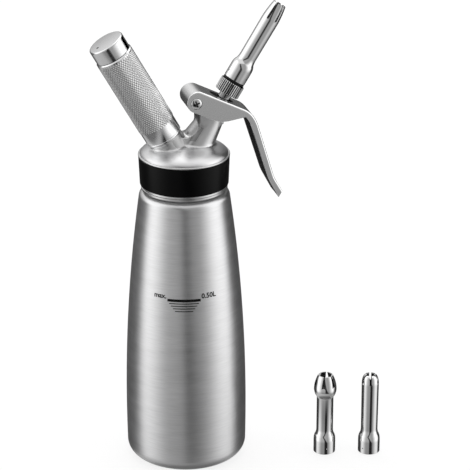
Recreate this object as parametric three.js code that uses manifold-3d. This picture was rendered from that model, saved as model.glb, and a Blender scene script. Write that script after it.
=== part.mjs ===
// Whipped cream dispenser: a half-litre bottle, a screw-on head that carries a lever valve and a
// gas charger holder, and three decorating nozzles, one mounted and two standing beside it.
// Millimetres, +Z up. The origin is on the floor at the centre of the bottle's base.
// The head's two posts lean apart in the XZ plane: the charger holder to -X, the valve to +X.

import * as THREE from 'three';
import { mergeVertices } from 'three/addons/utils/BufferGeometryUtils.js';
import Module from 'manifold-3d';

// Clearances that several pieces share
const seatGap = 0.3;
const threadClearance = 0.4;
const overrun = 1;

// Bottle
const bellyRadius = 40;
const bellyHeight = 34;
const shoulderHeight = 184;
const shoulderWidth = 6.8;
const shoulderRounding = 4;
const baseRounding = 9;
const bottleWall = 1.5;
const baseThickness = 2.5;
const neckRadius = 22.8;
const neckWall = 1.5;
const neckLength = 18.5;
const neckChamfer = 0.6;

// Head cap, silicone band and gasket
const capWall = 3.4;
const rimGap = 1.7;
const rimInset = 0.7;
const rimHeight = 2.9;
const rimEdge = 0.5;
const bandHeight = 19.4;
const bandThickness = 1.9;
const bandFlare = 0.7;
const bandEdge = 0.5;
const lipOverhang = 0.2;
const lipHeight = 1.1;
const lipWidth = 1.1;
const domeHeight = 7.3;
const gasketThickness = 1.8;
const gasketWidth = 2.2;
const cavityInset = 0.4;
const cavityWall = 5;

// Charger post, measured along its axis from where that meets the bottle's axis
const holderTilt = THREE.MathUtils.degToRad(29.3);
const holderApexRise = 12.65;
const portFoot = 8;
const portTop = 26.2;
const portEdge = 0.7;
const portShoulder = 1.9;
const spigotLength = 10.6;
const spigotEdge = 0.8;
const portBoreRadius = 5;
const portBoreFloor = 16;
const gasChannelRadius = 1.5;

// Charger holder sleeve and its end cap
const holderWall = 1.8;
const skirtStep = 0.25;
const skirtLength = 10.2;
const skirtEdge = 0.5;
const skirtBead = 1.2;
const knurlEdge = 0.45;
const capStep = 0.75;
const capHeight = 9.9;
const capEdge = 0.8;
const capTopThickness = 4;
const capSkirtLength = 6;
const capSkirtWall = 0.9;
const ventRadius = 0.6;
const ventOffset = 6.3;
const ventAngle = THREE.MathUtils.degToRad(195.5);

// Gas charger, piercing pin, its carrier and its seal
const chargerRadius = 9;
const chargerLength = 65;
const chargerClearance = 0.45;
const chargerEndGap = 5.1;
const chargerNeckRadius = 3.8;
const chargerNeckLength = 10;
const chargerShoulderLength = 8;
const chargerBaseRounding = 6;
const pierceRadius = 1.9;
const pierceDepth = 3;
const pinRadius = 1.5;
const pinLength = 11.3;
const pinPointLength = 2;
const pinCarrierLength = 9.4;
const pinCarrierBore = 0.8;
const pinSocketDepth = 7;
const portSealThickness = 1.8;

// Valve tower, measured along its axis from where that meets the bottle's axis
const valveTilt = THREE.MathUtils.degToRad(31.8);
const valveApexRise = 15.85;
const towerFoot = 12;
const towerFootRadius = 12;
const towerWaist = 22;
const towerWaistStep = 2.5;
const towerWall = 1.7;
const towerEdge = 0.6;
const valveSeatPlace = 8.5;
const seatBossRadius = 8.2;
const seatPocketClearance = 0.6;
const flowChamberRadius = 5.2;
const flowChamberDepth = 6.5;
const landLength = 7;
const springSpace = 1.9;

// Bridge between the two posts and the ear that carries the lever's pivot
const pivotX = 6;
const pivotRise = 43.4;
const bridgeInset = 0.2;
const earRadius = 4.9;
const bridgeFlankOffset = 2.6;
const bridgeFlankTop = 8.4;
const bridgeSaddleDepth = 23.2;
const bridgeSaddleRadius = 9.2;
const bridgeSink = 5.45;

// Valve stem and what is fixed on it
const stemRadius = 4;
const stemBore = 2.2;
const stemFoot = 3.6;
const stemReach = 6.2;
const stemPortRadius = 1.2;
const stemPortPlace = 12;
const sealRadius = 7.2;
const sealThickness = 2;
const footRadius = 5.4;
const footThickness = 1.6;
const grooveDepth = 0.9;
const grooveWidth = 1.6;
const ringWire = 0.45;
const collarLap = 1.6;
const collarThickness = 2.2;
const collarEdge = 0.4;
const collarLeverGap = 0.7;
const collarRise = 9.02;
const hubDepth = 11.2;
const springWire = 0.45;
const springTurns = 5;

// Lever, in a frame centred on its pivot
const cheekThickness = 1.9;
const leverWall = 1.8;
const leverEdge = 0.8;
const leverSlope = THREE.MathUtils.degToRad(26.5);
const leverTopHeight = 8.3;
const noseRadius = 7.2;
const noseForward = 1.2;
const noseOpening = THREE.MathUtils.degToRad(232);
const bellyDepth = 14.3;
const bellyReach = 16.3;
const bellyBlend = 6;
const flangeJoinX = 32.3;
const flangeJoinDepth = 11.8;
const handleTopX = 38.5;
const handleBend = 7.2;
const handleLean = THREE.MathUtils.degToRad(16.5);
const handleLength = 47.5;
const flangeDepth = 4.1;
const tipLean = THREE.MathUtils.degToRad(30);
const tipLength = 10.6;
const tipDepth = 4.3;
const tipSlant = 2.6;
const slotLength = 17;
const slotSetback = 1.62;
const slotClearance = 1.2;

// Pivot screw, its sleeve nut and the two washers
const screwRadius = 1.1;
const sleeveWall = 0.6;
const screwHeadRadius = 3.5;
const screwHeadRise = 0.5;
const screwHeadThickness = 1.3;
const screwHeadClearance = 0.25;
const crossWidth = 0.9;
const crossLength = 3.8;
const crossDepth = 0.6;
const washerRadius = 3.6;
const washerThickness = 0.6;
const washerClearance = 0.25;

// Adapter ring, its O-ring and the thread that takes a nozzle
const adapterLeverGap = 3.77;
const adapterHeight = 8.5;
const adapterStep = 0.85;
const adapterRibs = 36;
const adapterRibDepth = 0.55;
const adapterEdge = 0.7;
const adapterSpigotRadius = 6.1;
const adapterSpigotLength = 8.5;
const adapterBore = 3;
const sealRingThickness = 1.25;
const sealRingInset = 0.1;
const sealRingGap = 0.15;

// Nozzles
const nozzleLength = 56.4;
const nozzleWall = 0.8;
const nozzleThreadClearance = 0.5;
const nozzleBaseHeight = 10.4;
const nozzleShoulderHeight = 4.6;
const nozzleTubeRadius = 5.6;
const nozzleMuzzleRadius = 5.75;
const dimpleRadius = 0.45;
const dimpleHeight = 4;
const dimpleTurn = THREE.MathUtils.degToRad(37);
const tineCount = 6;
const plainTaperLength = 11.8;
const plainSlotLength = 10.9;
const plainTipRadius = 4.3;
const plainSlotWidth = 1.5;
const plainTurn = THREE.MathUtils.degToRad(-41.8);
const starTaperLength = 6.4;
const starSlotLength = 5.5;
const starTipRadius = 3.4;
const starSlotWidth = 1.4;
const tulipSlotLength = 9;
const tulipNeckHeight = 41;
const tulipBulbHeight = 46;
const tulipBulbRadius = 7.6;
const tulipTipRadius = 4.9;
const tulipSlotWidth = 2.9;
const tulipSlotTipWidth = 0.7;
const tulipPlaceX = 88.9;
const tulipPlaceY = -28.7;
const tulipTurn = THREE.MathUtils.degToRad(33);
const starPlaceX = 118;
const starPlaceY = -36.3;
const starTurn = THREE.MathUtils.degToRad(-16);

// Facets
const bottleFacets = 36;
const postFacets = 24;
const nozzleFacets = 20;
const smallFacets = 16;
const cutFacets = 10;
const roundFacets = 8;
const blendSteps = 4;
const sideSteps = 5;
const innerSteps = 3;

// Bottle and cap sizes that follow from the ones above
const shoulderRadius = neckRadius + shoulderWidth;
const sideArcRadius = arcThroughShoulder();
const sideTopAngle = Math.asin((shoulderHeight - bellyHeight) / sideArcRadius);
const shoulderTop = shoulderHeight + shoulderRounding * (1 - Math.sin(sideTopAngle));
const neckTop = shoulderTop + neckLength;
const rimBottom = shoulderTop + rimGap;
const rimTop = rimBottom + rimHeight;
const bandTop = rimTop + bandHeight;
const lipTop = bandTop + lipHeight;
const domeTop = lipTop + domeHeight;
const gasketTop = neckTop + seatGap + gasketThickness;
const capBore = neckRadius + threadClearance;
const bandSeat = capBore + capWall;
const bandBottomRadius = bandSeat + seatGap + bandThickness;
const bandTopRadius = bandBottomRadius + bandFlare;
const rimRadius = bandBottomRadius - rimInset;
const lipRadius = bandTopRadius + lipOverhang;
const cavityRadius = neckRadius - gasketWidth - cavityInset;

// Charger side, from the charger outwards
const holderApexHeight = rimBottom + holderApexRise;
const holderBore = chargerRadius + chargerClearance;
const skirtBore = holderBore + skirtStep;
const spigotRadius = skirtBore - threadClearance;
const portRadius = spigotRadius + portShoulder;
const capSeatRadius = holderBore + capSkirtWall + seatGap;
const knurlRadius = capSeatRadius + holderWall;
const skirtRadius = knurlRadius - knurlEdge;
const capRadius = knurlRadius - capStep;
const portSealFoot = portBoreFloor + 2 * seatGap + pinCarrierLength;
const chargerTip = portSealFoot + portSealThickness + seatGap;
const chargerBase = chargerTip + chargerLength;
const capCeiling = chargerBase + chargerEndGap;
const capTop = capCeiling + capTopThickness;
const capFoot = capTop - capHeight;
const holderTop = capFoot - seatGap;
const holderFoot = portTop + seatGap;
const knurlFoot = holderFoot + skirtLength;

// Valve side, from the stem outwards and from the lever along the axis
const valveApexHeight = rimBottom + valveApexRise;
const pivotHeight = valveApexHeight + pivotRise;
const springChamberRadius = stemRadius + springSpace;
const hubRadius = springChamberRadius - 2 * seatGap;
const towerTopRadius = springChamberRadius + towerWall;
const towerWaistRadius = towerTopRadius + towerWaistStep;
const slotWidth = 2 * (stemRadius + slotClearance);
const collarRadius = slotWidth / 2 + collarLap;
const collarTop = leverCrossing(leverTopHeight - leverWall) - collarLeverGap;
const towerTop = collarTop - collarRise;
const landFoot = valveSeatPlace + flowChamberDepth;
const landTop = landFoot + landLength;
const stemRingPlace = (landFoot + landTop) / 2;
const adapterFoot = leverCrossing(leverTopHeight) + adapterLeverGap;
const stemTop = adapterFoot + stemReach;
const nozzleFoot = adapterFoot + adapterHeight + sealRingThickness + 2 * sealRingGap;
const nozzleBaseRadius = adapterSpigotRadius + nozzleThreadClearance + nozzleWall;
const adapterRadius = nozzleBaseRadius + adapterStep;
const sealRingRadius = nozzleBaseRadius - sealRingInset;

// Lever and pivot
const bridgeWidth = 2 * (towerTopRadius - bridgeInset);
const cheekInner = bridgeWidth / 2 + washerThickness + 2 * washerClearance;
const leverWidth = 2 * (cheekInner + cheekThickness);
const leverNoseHeight = (leverTopHeight - noseRadius - noseForward * Math.sin(leverSlope))
  / Math.cos(leverSlope);
const sleeveBore = screwRadius + seatGap;
const sleeveRadius = sleeveBore + sleeveWall;
const pivotBore = sleeveRadius + seatGap;

// Finishes
const brushedAluminium = { color: 0xbcbdbf, roughness: 0.38, metalness: 1 };
const castAluminium = { color: 0xb6b7b9, roughness: 0.28, metalness: 1 };
const knurledAluminium = { color: 0xb3b4b6, roughness: 0.45, metalness: 1 };
const polishedSteel = { color: 0xc9cacc, roughness: 0.16, metalness: 1 };
const blackSilicone = { color: 0x0d0d0e, roughness: 0.62, metalness: 0 };
const blackRubber = { color: 0x111112, roughness: 0.5, metalness: 0 };
const whiteNylon = { color: 0xe4e2dc, roughness: 0.5, metalness: 0 };

const wasm = await Module();
wasm.setup();

// The bottle's side is one long arc that is upright at the belly and meets the shoulder.
function arcThroughShoulder() {
  const rise = shoulderHeight - bellyHeight;
  const drop = bellyRadius - shoulderRadius;
  return (rise * rise + drop * drop) / (2 * drop);
}

// Distance along the valve's axis at which it crosses a line parallel to the lever's top.
function leverCrossing(heightOverPivot) {
  const normalX = Math.sin(leverSlope);
  const normalZ = Math.cos(leverSlope);
  const climb = normalX * Math.sin(valveTilt) + normalZ * Math.cos(valveTilt);
  return (heightOverPivot + normalX * pivotX + normalZ * pivotRise) / climb;
}

function arc(centreX, centreY, radius, fromAngle, toAngle, steps = blendSteps) {
  return ellipseArc(centreX, centreY, radius, radius, fromAngle, toAngle, steps);
}

function ellipseArc(centreX, centreY, radiusX, radiusY, fromAngle, toAngle, steps) {
  return Array.from({ length: steps + 1 }, (_, step) => {
    const angle = fromAngle + ((toAngle - fromAngle) * step) / steps;
    return [centreX + radiusX * Math.cos(angle), centreY + radiusY * Math.sin(angle)];
  });
}

// Turns an outline of [radius, height] pairs, walked with the material on its left, about Z.
function revolve(outline, facets) {
  const points = outline.map(([radius, height]) => new THREE.Vector2(radius, height));
  return new THREE.LatheGeometry(points, facets).rotateX(Math.PI / 2);
}

// The same for an outline that stays off the axis, such as a ring's section.
function revolveRing(outline, facets) {
  return revolve([...outline, outline[0]], facets);
}

function cylinder(radius, from, to, facets = smallFacets) {
  return revolve([[0, from], [radius, from], [radius, to], [0, to]], facets);
}

// Extrudes an outline of [x, z] pairs to both sides of the XZ plane.
function slab(outline, width, edge = 0) {
  const shape = new THREE.Shape(outline.map(([x, z]) => new THREE.Vector2(x, z)));
  const depth = width - 2 * edge;
  const geometry = new THREE.ExtrudeGeometry(shape, {
    depth,
    bevelEnabled: edge > 0,
    bevelThickness: edge,
    bevelSize: edge,
    bevelOffset: -edge,
    bevelSegments: 2,
  });
  return geometry.translate(0, 0, -depth / 2).rotateX(Math.PI / 2);
}

function onHolderAxis(geometry) {
  return geometry.rotateY(-holderTilt).translate(0, 0, holderApexHeight);
}

function onValveAxis(geometry) {
  return geometry.rotateY(valveTilt).translate(0, 0, valveApexHeight);
}

// Point in the XZ plane at a distance along the valve's axis and to its right.
function besideValveAxis(along, offset) {
  return [
    along * Math.sin(valveTilt) + offset * Math.cos(valveTilt),
    valveApexHeight + along * Math.cos(valveTilt) - offset * Math.sin(valveTilt),
  ];
}

function toSolid(geometry) {
  const bare = geometry.clone();
  bare.deleteAttribute('normal');
  bare.deleteAttribute('uv');
  const merged = mergeVertices(bare);
  const corners = merged.index.array;
  const kept = [];
  for (let i = 0; i < corners.length; i += 3) {
    const [a, b, c] = corners.subarray(i, i + 3);
    if (a !== b && b !== c && c !== a) {
      kept.push(a, b, c);
    }
  }
  return new wasm.Manifold(new wasm.Mesh({
    numProp: 3,
    vertProperties: new Float32Array(merged.attributes.position.array),
    triVerts: new Uint32Array(kept),
  }));
}

function toGeometry(solid) {
  const { vertProperties, triVerts } = solid.getMesh();
  const geometry = new THREE.BufferGeometry();
  geometry.setAttribute('position', new THREE.BufferAttribute(vertProperties, 3));
  geometry.setIndex(new THREE.BufferAttribute(triVerts, 1));
  geometry.computeVertexNormals();
  return geometry;
}

function combine(base, { add = [], cut = [] }) {
  let solid = toSolid(base);
  add.forEach((geometry) => {
    solid = solid.add(toSolid(geometry));
  });
  cut.forEach((geometry) => {
    solid = solid.subtract(toSolid(geometry));
  });
  return toGeometry(solid);
}

function piece(name, geometry, finish) {
  const mesh = new THREE.Mesh(geometry, new THREE.MeshStandardMaterial(finish));
  mesh.name = name;
  return mesh;
}

// Bottle: a spun shell with a flat base, a long arched side, a rounded shoulder and a neck.
function bottle() {
  const sideCentre = bellyRadius - sideArcRadius;
  const baseAngle = Math.asin((baseRounding - bellyHeight) / sideArcRadius);
  const baseSideRadius = sideCentre + sideArcRadius * Math.cos(baseAngle);
  const cornerCentre = baseSideRadius - baseRounding;
  const innerCorner = baseRounding - baseThickness;
  const shoulderCentreX = shoulderRadius - shoulderRounding * Math.cos(sideTopAngle);
  const shoulderCentreZ = shoulderHeight - shoulderRounding * Math.sin(sideTopAngle);
  const innerRounding = shoulderRounding - bottleWall;
  const innerSide = sideArcRadius - bottleWall;
  const neckInner = neckRadius - neckWall;
  const quarter = Math.PI / 2;
  return revolve([
    [0, 0],
    ...arc(cornerCentre, baseRounding, baseRounding, -quarter, 0),
    ...arc(sideCentre, bellyHeight, sideArcRadius, baseAngle, 0, 1),
    ...arc(sideCentre, bellyHeight, sideArcRadius, 0, sideTopAngle, sideSteps).slice(1),
    ...arc(
      shoulderCentreX,
      shoulderCentreZ,
      shoulderRounding,
      sideTopAngle,
      quarter,
      innerSteps,
    ),
    [neckRadius, shoulderTop],
    [neckRadius, neckTop - neckChamfer],
    [neckRadius - neckChamfer, neckTop],
    [neckInner, neckTop],
    [neckInner, shoulderTop - bottleWall],
    ...arc(shoulderCentreX, shoulderCentreZ, innerRounding, quarter, sideTopAngle, innerSteps),
    ...arc(sideCentre, bellyHeight, innerSide, sideTopAngle, baseAngle, innerSteps),
    ...arc(
      baseSideRadius - bottleWall - innerCorner,
      baseThickness + innerCorner,
      innerCorner,
      0,
      -quarter,
      innerSteps,
    ),
    [0, baseThickness],
  ], bottleFacets);
}

// Outside of the head's cap: a skirt with a seat for the band, a lip and a low dome.
function capOutside() {
  const domeRadius = lipRadius - lipWidth;
  return revolve([
    [0, rimBottom],
    [rimRadius - rimEdge, rimBottom],
    [rimRadius, rimBottom + rimEdge],
    [rimRadius, rimTop],
    [bandSeat, rimTop],
    [bandSeat, bandTop],
    [lipRadius - rimEdge, bandTop],
    [lipRadius, bandTop + lipHeight / 2],
    [lipRadius - rimEdge, lipTop],
    ...ellipseArc(0, lipTop, domeRadius, domeHeight, 0, Math.PI / 2, sideSteps),
  ], bottleFacets);
}

// Inside of the cap: a bore over the bottle's neck, a land for the gasket and a domed ceiling.
function capInside() {
  const gasketSeat = gasketTop + seatGap;
  const ceiling = domeTop - cavityWall;
  return revolve([
    [0, rimBottom - overrun],
    [capBore, rimBottom - overrun],
    [capBore, gasketSeat],
    ...ellipseArc(0, gasketSeat, cavityRadius, ceiling - gasketSeat, 0, Math.PI / 2, blendSteps),
  ], bottleFacets);
}

function chargerPort() {
  return onHolderAxis(revolve([
    [0, portFoot],
    [portRadius, portFoot],
    [portRadius, portTop - portEdge],
    [portRadius - portEdge, portTop],
    [spigotRadius, portTop],
    [spigotRadius, portTop + spigotLength - spigotEdge],
    [spigotRadius - spigotEdge, portTop + spigotLength],
    [0, portTop + spigotLength],
  ], postFacets));
}

function valveTower() {
  return onValveAxis(revolve([
    [0, towerFoot],
    [towerFootRadius, towerFoot],
    [towerWaistRadius, towerWaist],
    [towerTopRadius, towerTop - towerEdge],
    [towerTopRadius - towerEdge, towerTop],
    [0, towerTop],
  ], postFacets));
}

// Bridge: rises from the saddle between the posts, up the tower's flank, to the rounded ear.
function bridge() {
  const earX = pivotX + noseForward;
  const earZ = pivotHeight + leverNoseHeight;
  const flankX = pivotX + bridgeFlankOffset;
  const saddleZ = pivotHeight - bridgeSaddleDepth;
  const footZ = domeTop - bridgeSink;
  const towerMiddle = besideValveAxis(towerWaist, 0);
  return slab([
    ...arc(earX, earZ, earRadius, 0, Math.PI + holderTilt, 2 * blendSteps),
    [flankX, pivotHeight - bridgeFlankTop],
    ...arc(
      flankX - bridgeSaddleRadius,
      saddleZ + bridgeSaddleRadius,
      bridgeSaddleRadius,
      0,
      -Math.PI / 2,
    ),
    [-pivotX, saddleZ],
    [-pivotX, footZ],
    [towerMiddle[0], footZ],
    towerMiddle,
    besideValveAxis(towerTop - towerEdge, towerEdge - towerTopRadius),
  ], bridgeWidth);
}

function head() {
  const chamber = onValveAxis(cylinder(springChamberRadius, landTop, towerTop + overrun));
  const land = onValveAxis(cylinder(stemRadius + threadClearance, valveSeatPlace, towerTop));
  const flow = onValveAxis(cylinder(flowChamberRadius, valveSeatPlace - overrun, landFoot));
  const seatBoss = onValveAxis(cylinder(seatBossRadius, valveSeatPlace, landFoot));
  const pocket = onValveAxis(
    cylinder(seatBossRadius + seatPocketClearance, stemFoot - footThickness, valveSeatPlace),
  );
  const portBore = onHolderAxis(
    cylinder(portBoreRadius, portBoreFloor, portTop + spigotLength + overrun),
  );
  const gasChannel = onHolderAxis(
    cylinder(gasChannelRadius, portFoot, portBoreFloor + overrun, cutFacets),
  );
  const pivotHole = cylinder(pivotBore, -bridgeWidth, bridgeWidth, smallFacets)
    .rotateX(Math.PI / 2)
    .translate(pivotX, 0, pivotHeight);
  const shell = combine(capOutside(), {
    add: [chargerPort(), valveTower(), bridge()],
    cut: [capInside()],
  });
  return combine(shell, {
    add: [seatBoss],
    cut: [chamber, land, flow, pocket, portBore, gasChannel, pivotHole],
  });
}

function siliconeBand() {
  const foot = rimTop + seatGap;
  const top = bandTop - seatGap;
  return revolveRing([
    [bandBottomRadius - bandThickness, foot],
    [bandBottomRadius - bandEdge, foot],
    [bandBottomRadius, foot + bandEdge],
    [bandTopRadius, top - bandEdge],
    [bandTopRadius - bandEdge, top],
    [bandBottomRadius - bandThickness, top],
  ], bottleFacets);
}

function headGasket() {
  const section = ringSection(neckRadius - gasketWidth, neckRadius, neckTop + seatGap, gasketTop);
  return revolveRing(section, postFacets);
}

function chargerHolder() {
  const capSeatFoot = holderTop - capSkirtLength - seatGap;
  const spigotEnd = portTop + spigotLength + seatGap;
  return revolveRing([
    [skirtBore, holderFoot],
    [skirtRadius - skirtEdge, holderFoot],
    [skirtRadius, holderFoot + skirtEdge],
    [skirtRadius, holderFoot + skirtBead],
    [skirtRadius - skirtEdge / 2, holderFoot + skirtBead + skirtEdge / 2],
    [skirtRadius, holderFoot + skirtBead + skirtEdge],
    [skirtRadius, knurlFoot - knurlEdge],
    [knurlRadius, knurlFoot],
    [knurlRadius, holderTop - knurlEdge],
    [knurlRadius - knurlEdge, holderTop],
    [capSeatRadius, holderTop],
    [capSeatRadius, capSeatFoot],
    [holderBore, capSeatFoot],
    [holderBore, spigotEnd + skirtBore - holderBore],
    [skirtBore, spigotEnd],
  ], postFacets);
}

function holderEndCap() {
  const wall = holderBore + capSkirtWall;
  const body = revolve([
    [0, capCeiling],
    [holderBore, capCeiling],
    [holderBore, capFoot - capSkirtLength],
    [wall, capFoot - capSkirtLength],
    [wall, capFoot],
    [capRadius, capFoot],
    [capRadius, capTop - capEdge],
    [capRadius - capEdge, capTop],
    [0, capTop],
  ], postFacets);
  const vent = cylinder(ventRadius, capCeiling - overrun, capTop + overrun, cutFacets)
    .translate(ventOffset * Math.cos(ventAngle), ventOffset * Math.sin(ventAngle), 0);
  return combine(body, { cut: [vent] });
}

function gasCharger() {
  const neckEnd = chargerTip + chargerNeckLength;
  return revolve([
    [0, chargerTip + pierceDepth],
    [pierceRadius, chargerTip + pierceDepth],
    [pierceRadius, chargerTip],
    [chargerNeckRadius, chargerTip],
    [chargerNeckRadius, neckEnd],
    ...ellipseArc(
      chargerNeckRadius,
      neckEnd + chargerShoulderLength,
      chargerRadius - chargerNeckRadius,
      chargerShoulderLength,
      -Math.PI / 2,
      0,
      blendSteps,
    ).slice(1),
    ...arc(
      chargerRadius - chargerBaseRounding,
      chargerBase - chargerBaseRounding,
      chargerBaseRounding,
      0,
      Math.PI / 2,
    ),
    [0, chargerBase],
  ], smallFacets);
}

function pinCarrier() {
  const foot = portBoreFloor + seatGap;
  const top = foot + pinCarrierLength;
  const outer = portBoreRadius - seatGap;
  const socket = pinRadius + seatGap;
  return revolveRing([
    [pinCarrierBore, foot],
    [outer, foot],
    [outer, top],
    [socket, top],
    [socket, top - pinSocketDepth],
    [pinCarrierBore, top - pinSocketDepth],
  ], smallFacets);
}

function piercingPin() {
  const foot = portBoreFloor + seatGap + pinCarrierLength - pinSocketDepth + seatGap;
  const top = foot + pinLength;
  return revolve([
    [0, foot],
    [pinRadius, foot],
    [pinRadius, top - pinPointLength],
    [0, top],
  ], cutFacets);
}

function portSeal() {
  const top = portSealFoot + portSealThickness;
  return revolveRing(
    ringSection(pinRadius + seatGap, portBoreRadius - seatGap, portSealFoot, top),
    smallFacets,
  );
}

// Hollow stem: open at the top, closed at the foot, with two side ports above the seal.
function valveStem() {
  const grooveFoot = stemRingPlace - grooveWidth / 2;
  const grooveTop = stemRingPlace + grooveWidth / 2;
  const body = revolve([
    [0, stemFoot],
    [stemRadius, stemFoot],
    [stemRadius, grooveFoot],
    [stemRadius - grooveDepth, grooveFoot],
    [stemRadius - grooveDepth, grooveTop],
    [stemRadius, grooveTop],
    [stemRadius, stemTop],
    [stemBore, stemTop],
    [stemBore, valveSeatPlace],
    [0, valveSeatPlace],
  ], smallFacets);
  const ports = cylinder(stemPortRadius, -stemRadius - overrun, stemRadius + overrun, cutFacets)
    .rotateX(Math.PI / 2)
    .translate(0, 0, stemPortPlace);
  return combine(body, { cut: [ports] });
}

function ringSection(innerRadius, outerRadius, foot, top) {
  return [[innerRadius, foot], [outerRadius, foot], [outerRadius, top], [innerRadius, top]];
}

function valveSeal() {
  const top = valveSeatPlace - seatGap;
  const section = ringSection(stemRadius + seatGap, sealRadius, top - sealThickness, top);
  return revolveRing(section, smallFacets);
}

function valveFoot() {
  const top = valveSeatPlace - sealThickness - 2 * seatGap;
  const section = ringSection(stemRadius + seatGap, footRadius, top - footThickness, top);
  return revolveRing(section, smallFacets);
}

function stemRing() {
  const middle = stemRadius - grooveDepth + seatGap / 2 + ringWire;
  const section = arc(middle, stemRingPlace, ringWire, 0, 2 * Math.PI, 2 * innerSteps);
  return revolve([...section.slice(0, -1), section[0]], smallFacets);
}

// Collar: a flange under the lever with a hub that reaches down into the spring's chamber.
function leverCollar() {
  return revolveRing([
    [stemRadius + seatGap, collarTop - hubDepth],
    [hubRadius, collarTop - hubDepth],
    [hubRadius, collarTop - collarThickness],
    [collarRadius, collarTop - collarThickness],
    [collarRadius, collarTop - collarEdge],
    [collarRadius - collarEdge, collarTop],
    [stemRadius + seatGap, collarTop],
  ], smallFacets);
}

class Helix extends THREE.Curve {
  constructor(radius, foot, height, turns) {
    super();
    Object.assign(this, { radius, foot, height, turns });
  }

  getPoint(share, target = new THREE.Vector3()) {
    const angle = 2 * Math.PI * this.turns * share;
    return target.set(
      this.radius * Math.cos(angle),
      this.radius * Math.sin(angle),
      this.foot + this.height * share,
    );
  }
}

function valveSpring() {
  const foot = landTop + seatGap + springWire;
  const top = collarTop - hubDepth - seatGap - springWire;
  const middle = (stemRadius + springChamberRadius) / 2;
  const wire = new THREE.Shape();
  wire.absarc(0, 0, springWire, 0, 2 * Math.PI);
  return new THREE.ExtrudeGeometry(wire, {
    extrudePath: new Helix(middle, foot, top - foot, springTurns),
    steps: springTurns * roundFacets,
    curveSegments: innerSteps,
  });
}

// Where the lever's top line meets the outer line of the handle, lowered by a wall.
function handleCorner(inset) {
  const height = (leverTopHeight - inset - handleTopX * Math.sin(leverSlope))
    / Math.cos(leverSlope);
  const outer = (leverTopHeight - handleTopX * Math.sin(leverSlope)) / Math.cos(leverSlope);
  const drop = outer - height;
  const slip = (inset - drop * Math.sin(handleLean))
    / (Math.cos(handleLean) + Math.tan(leverSlope) * Math.sin(handleLean));
  return [handleTopX - slip, height + slip * Math.tan(leverSlope)];
}

// Upper line of the lever from the back of its nose to the tip of its handle.
function leverSpine(inset, noseEnd) {
  const along = [Math.cos(leverSlope), -Math.sin(leverSlope)];
  const down = [Math.sin(handleLean), -Math.cos(handleLean)];
  const tip = [Math.sin(tipLean), -Math.cos(tipLean)];
  const [cornerX, cornerZ] = handleCorner(inset);
  const bend = new THREE.QuadraticBezierCurve(
    new THREE.Vector2(cornerX - handleBend * along[0], cornerZ - handleBend * along[1]),
    new THREE.Vector2(cornerX, cornerZ),
    new THREE.Vector2(cornerX + 1.4 * handleBend * down[0], cornerZ + 1.4 * handleBend * down[1]),
  );
  const kneeX = cornerX + handleLength * down[0];
  const kneeZ = cornerZ + handleLength * down[1];
  return [
    ...arc(
      noseForward,
      leverNoseHeight,
      noseRadius - inset,
      noseEnd,
      Math.PI / 2 - leverSlope,
      2 * blendSteps,
    ),
    ...bend.getPoints(blendSteps).map(({ x, y }) => [x, y]),
    [kneeX, kneeZ],
    [kneeX + tipLength * tip[0], kneeZ + tipLength * tip[1]],
  ];
}

// Side view of the lever: rounded nose, deep cheeks and a shallow handle that kicks out at its tip.
function leverOutline() {
  const spine = leverSpine(0, noseOpening);
  const [tipX, tipZ] = spine[spine.length - 1];
  const [kneeX, kneeZ] = spine[spine.length - 2];
  const handleInner = flangeDepth / Math.cos(handleLean);
  const belly = new THREE.QuadraticBezierCurve(
    new THREE.Vector2(bellyReach - bellyBlend, -bellyDepth + bellyBlend * Math.sin(leverSlope)),
    new THREE.Vector2(bellyReach, -bellyDepth),
    new THREE.Vector2(bellyReach + bellyBlend, -bellyDepth + bellyBlend / 6),
  );
  return [
    ...spine,
    [
      tipX - tipDepth * Math.cos(tipLean) + tipSlant * Math.sin(tipLean),
      tipZ - tipDepth * Math.sin(tipLean) - tipSlant * Math.cos(tipLean),
    ],
    [kneeX - handleInner, kneeZ],
    [handleTopX - handleInner + flangeDepth / 4, -flangeJoinDepth - flangeDepth],
    [flangeJoinX, -flangeJoinDepth],
    ...belly.getPoints(blendSteps).reverse().map(({ x, y }) => [x, y]),
  ];
}

// How far down the lever's sloping top, from above the pivot, the stem comes through.
function stemPlaceOnLever() {
  const [x, z] = besideValveAxis(leverCrossing(leverTopHeight), 0);
  return (x - pivotX) * Math.cos(leverSlope) - (z - pivotHeight) * Math.sin(leverSlope);
}

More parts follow.
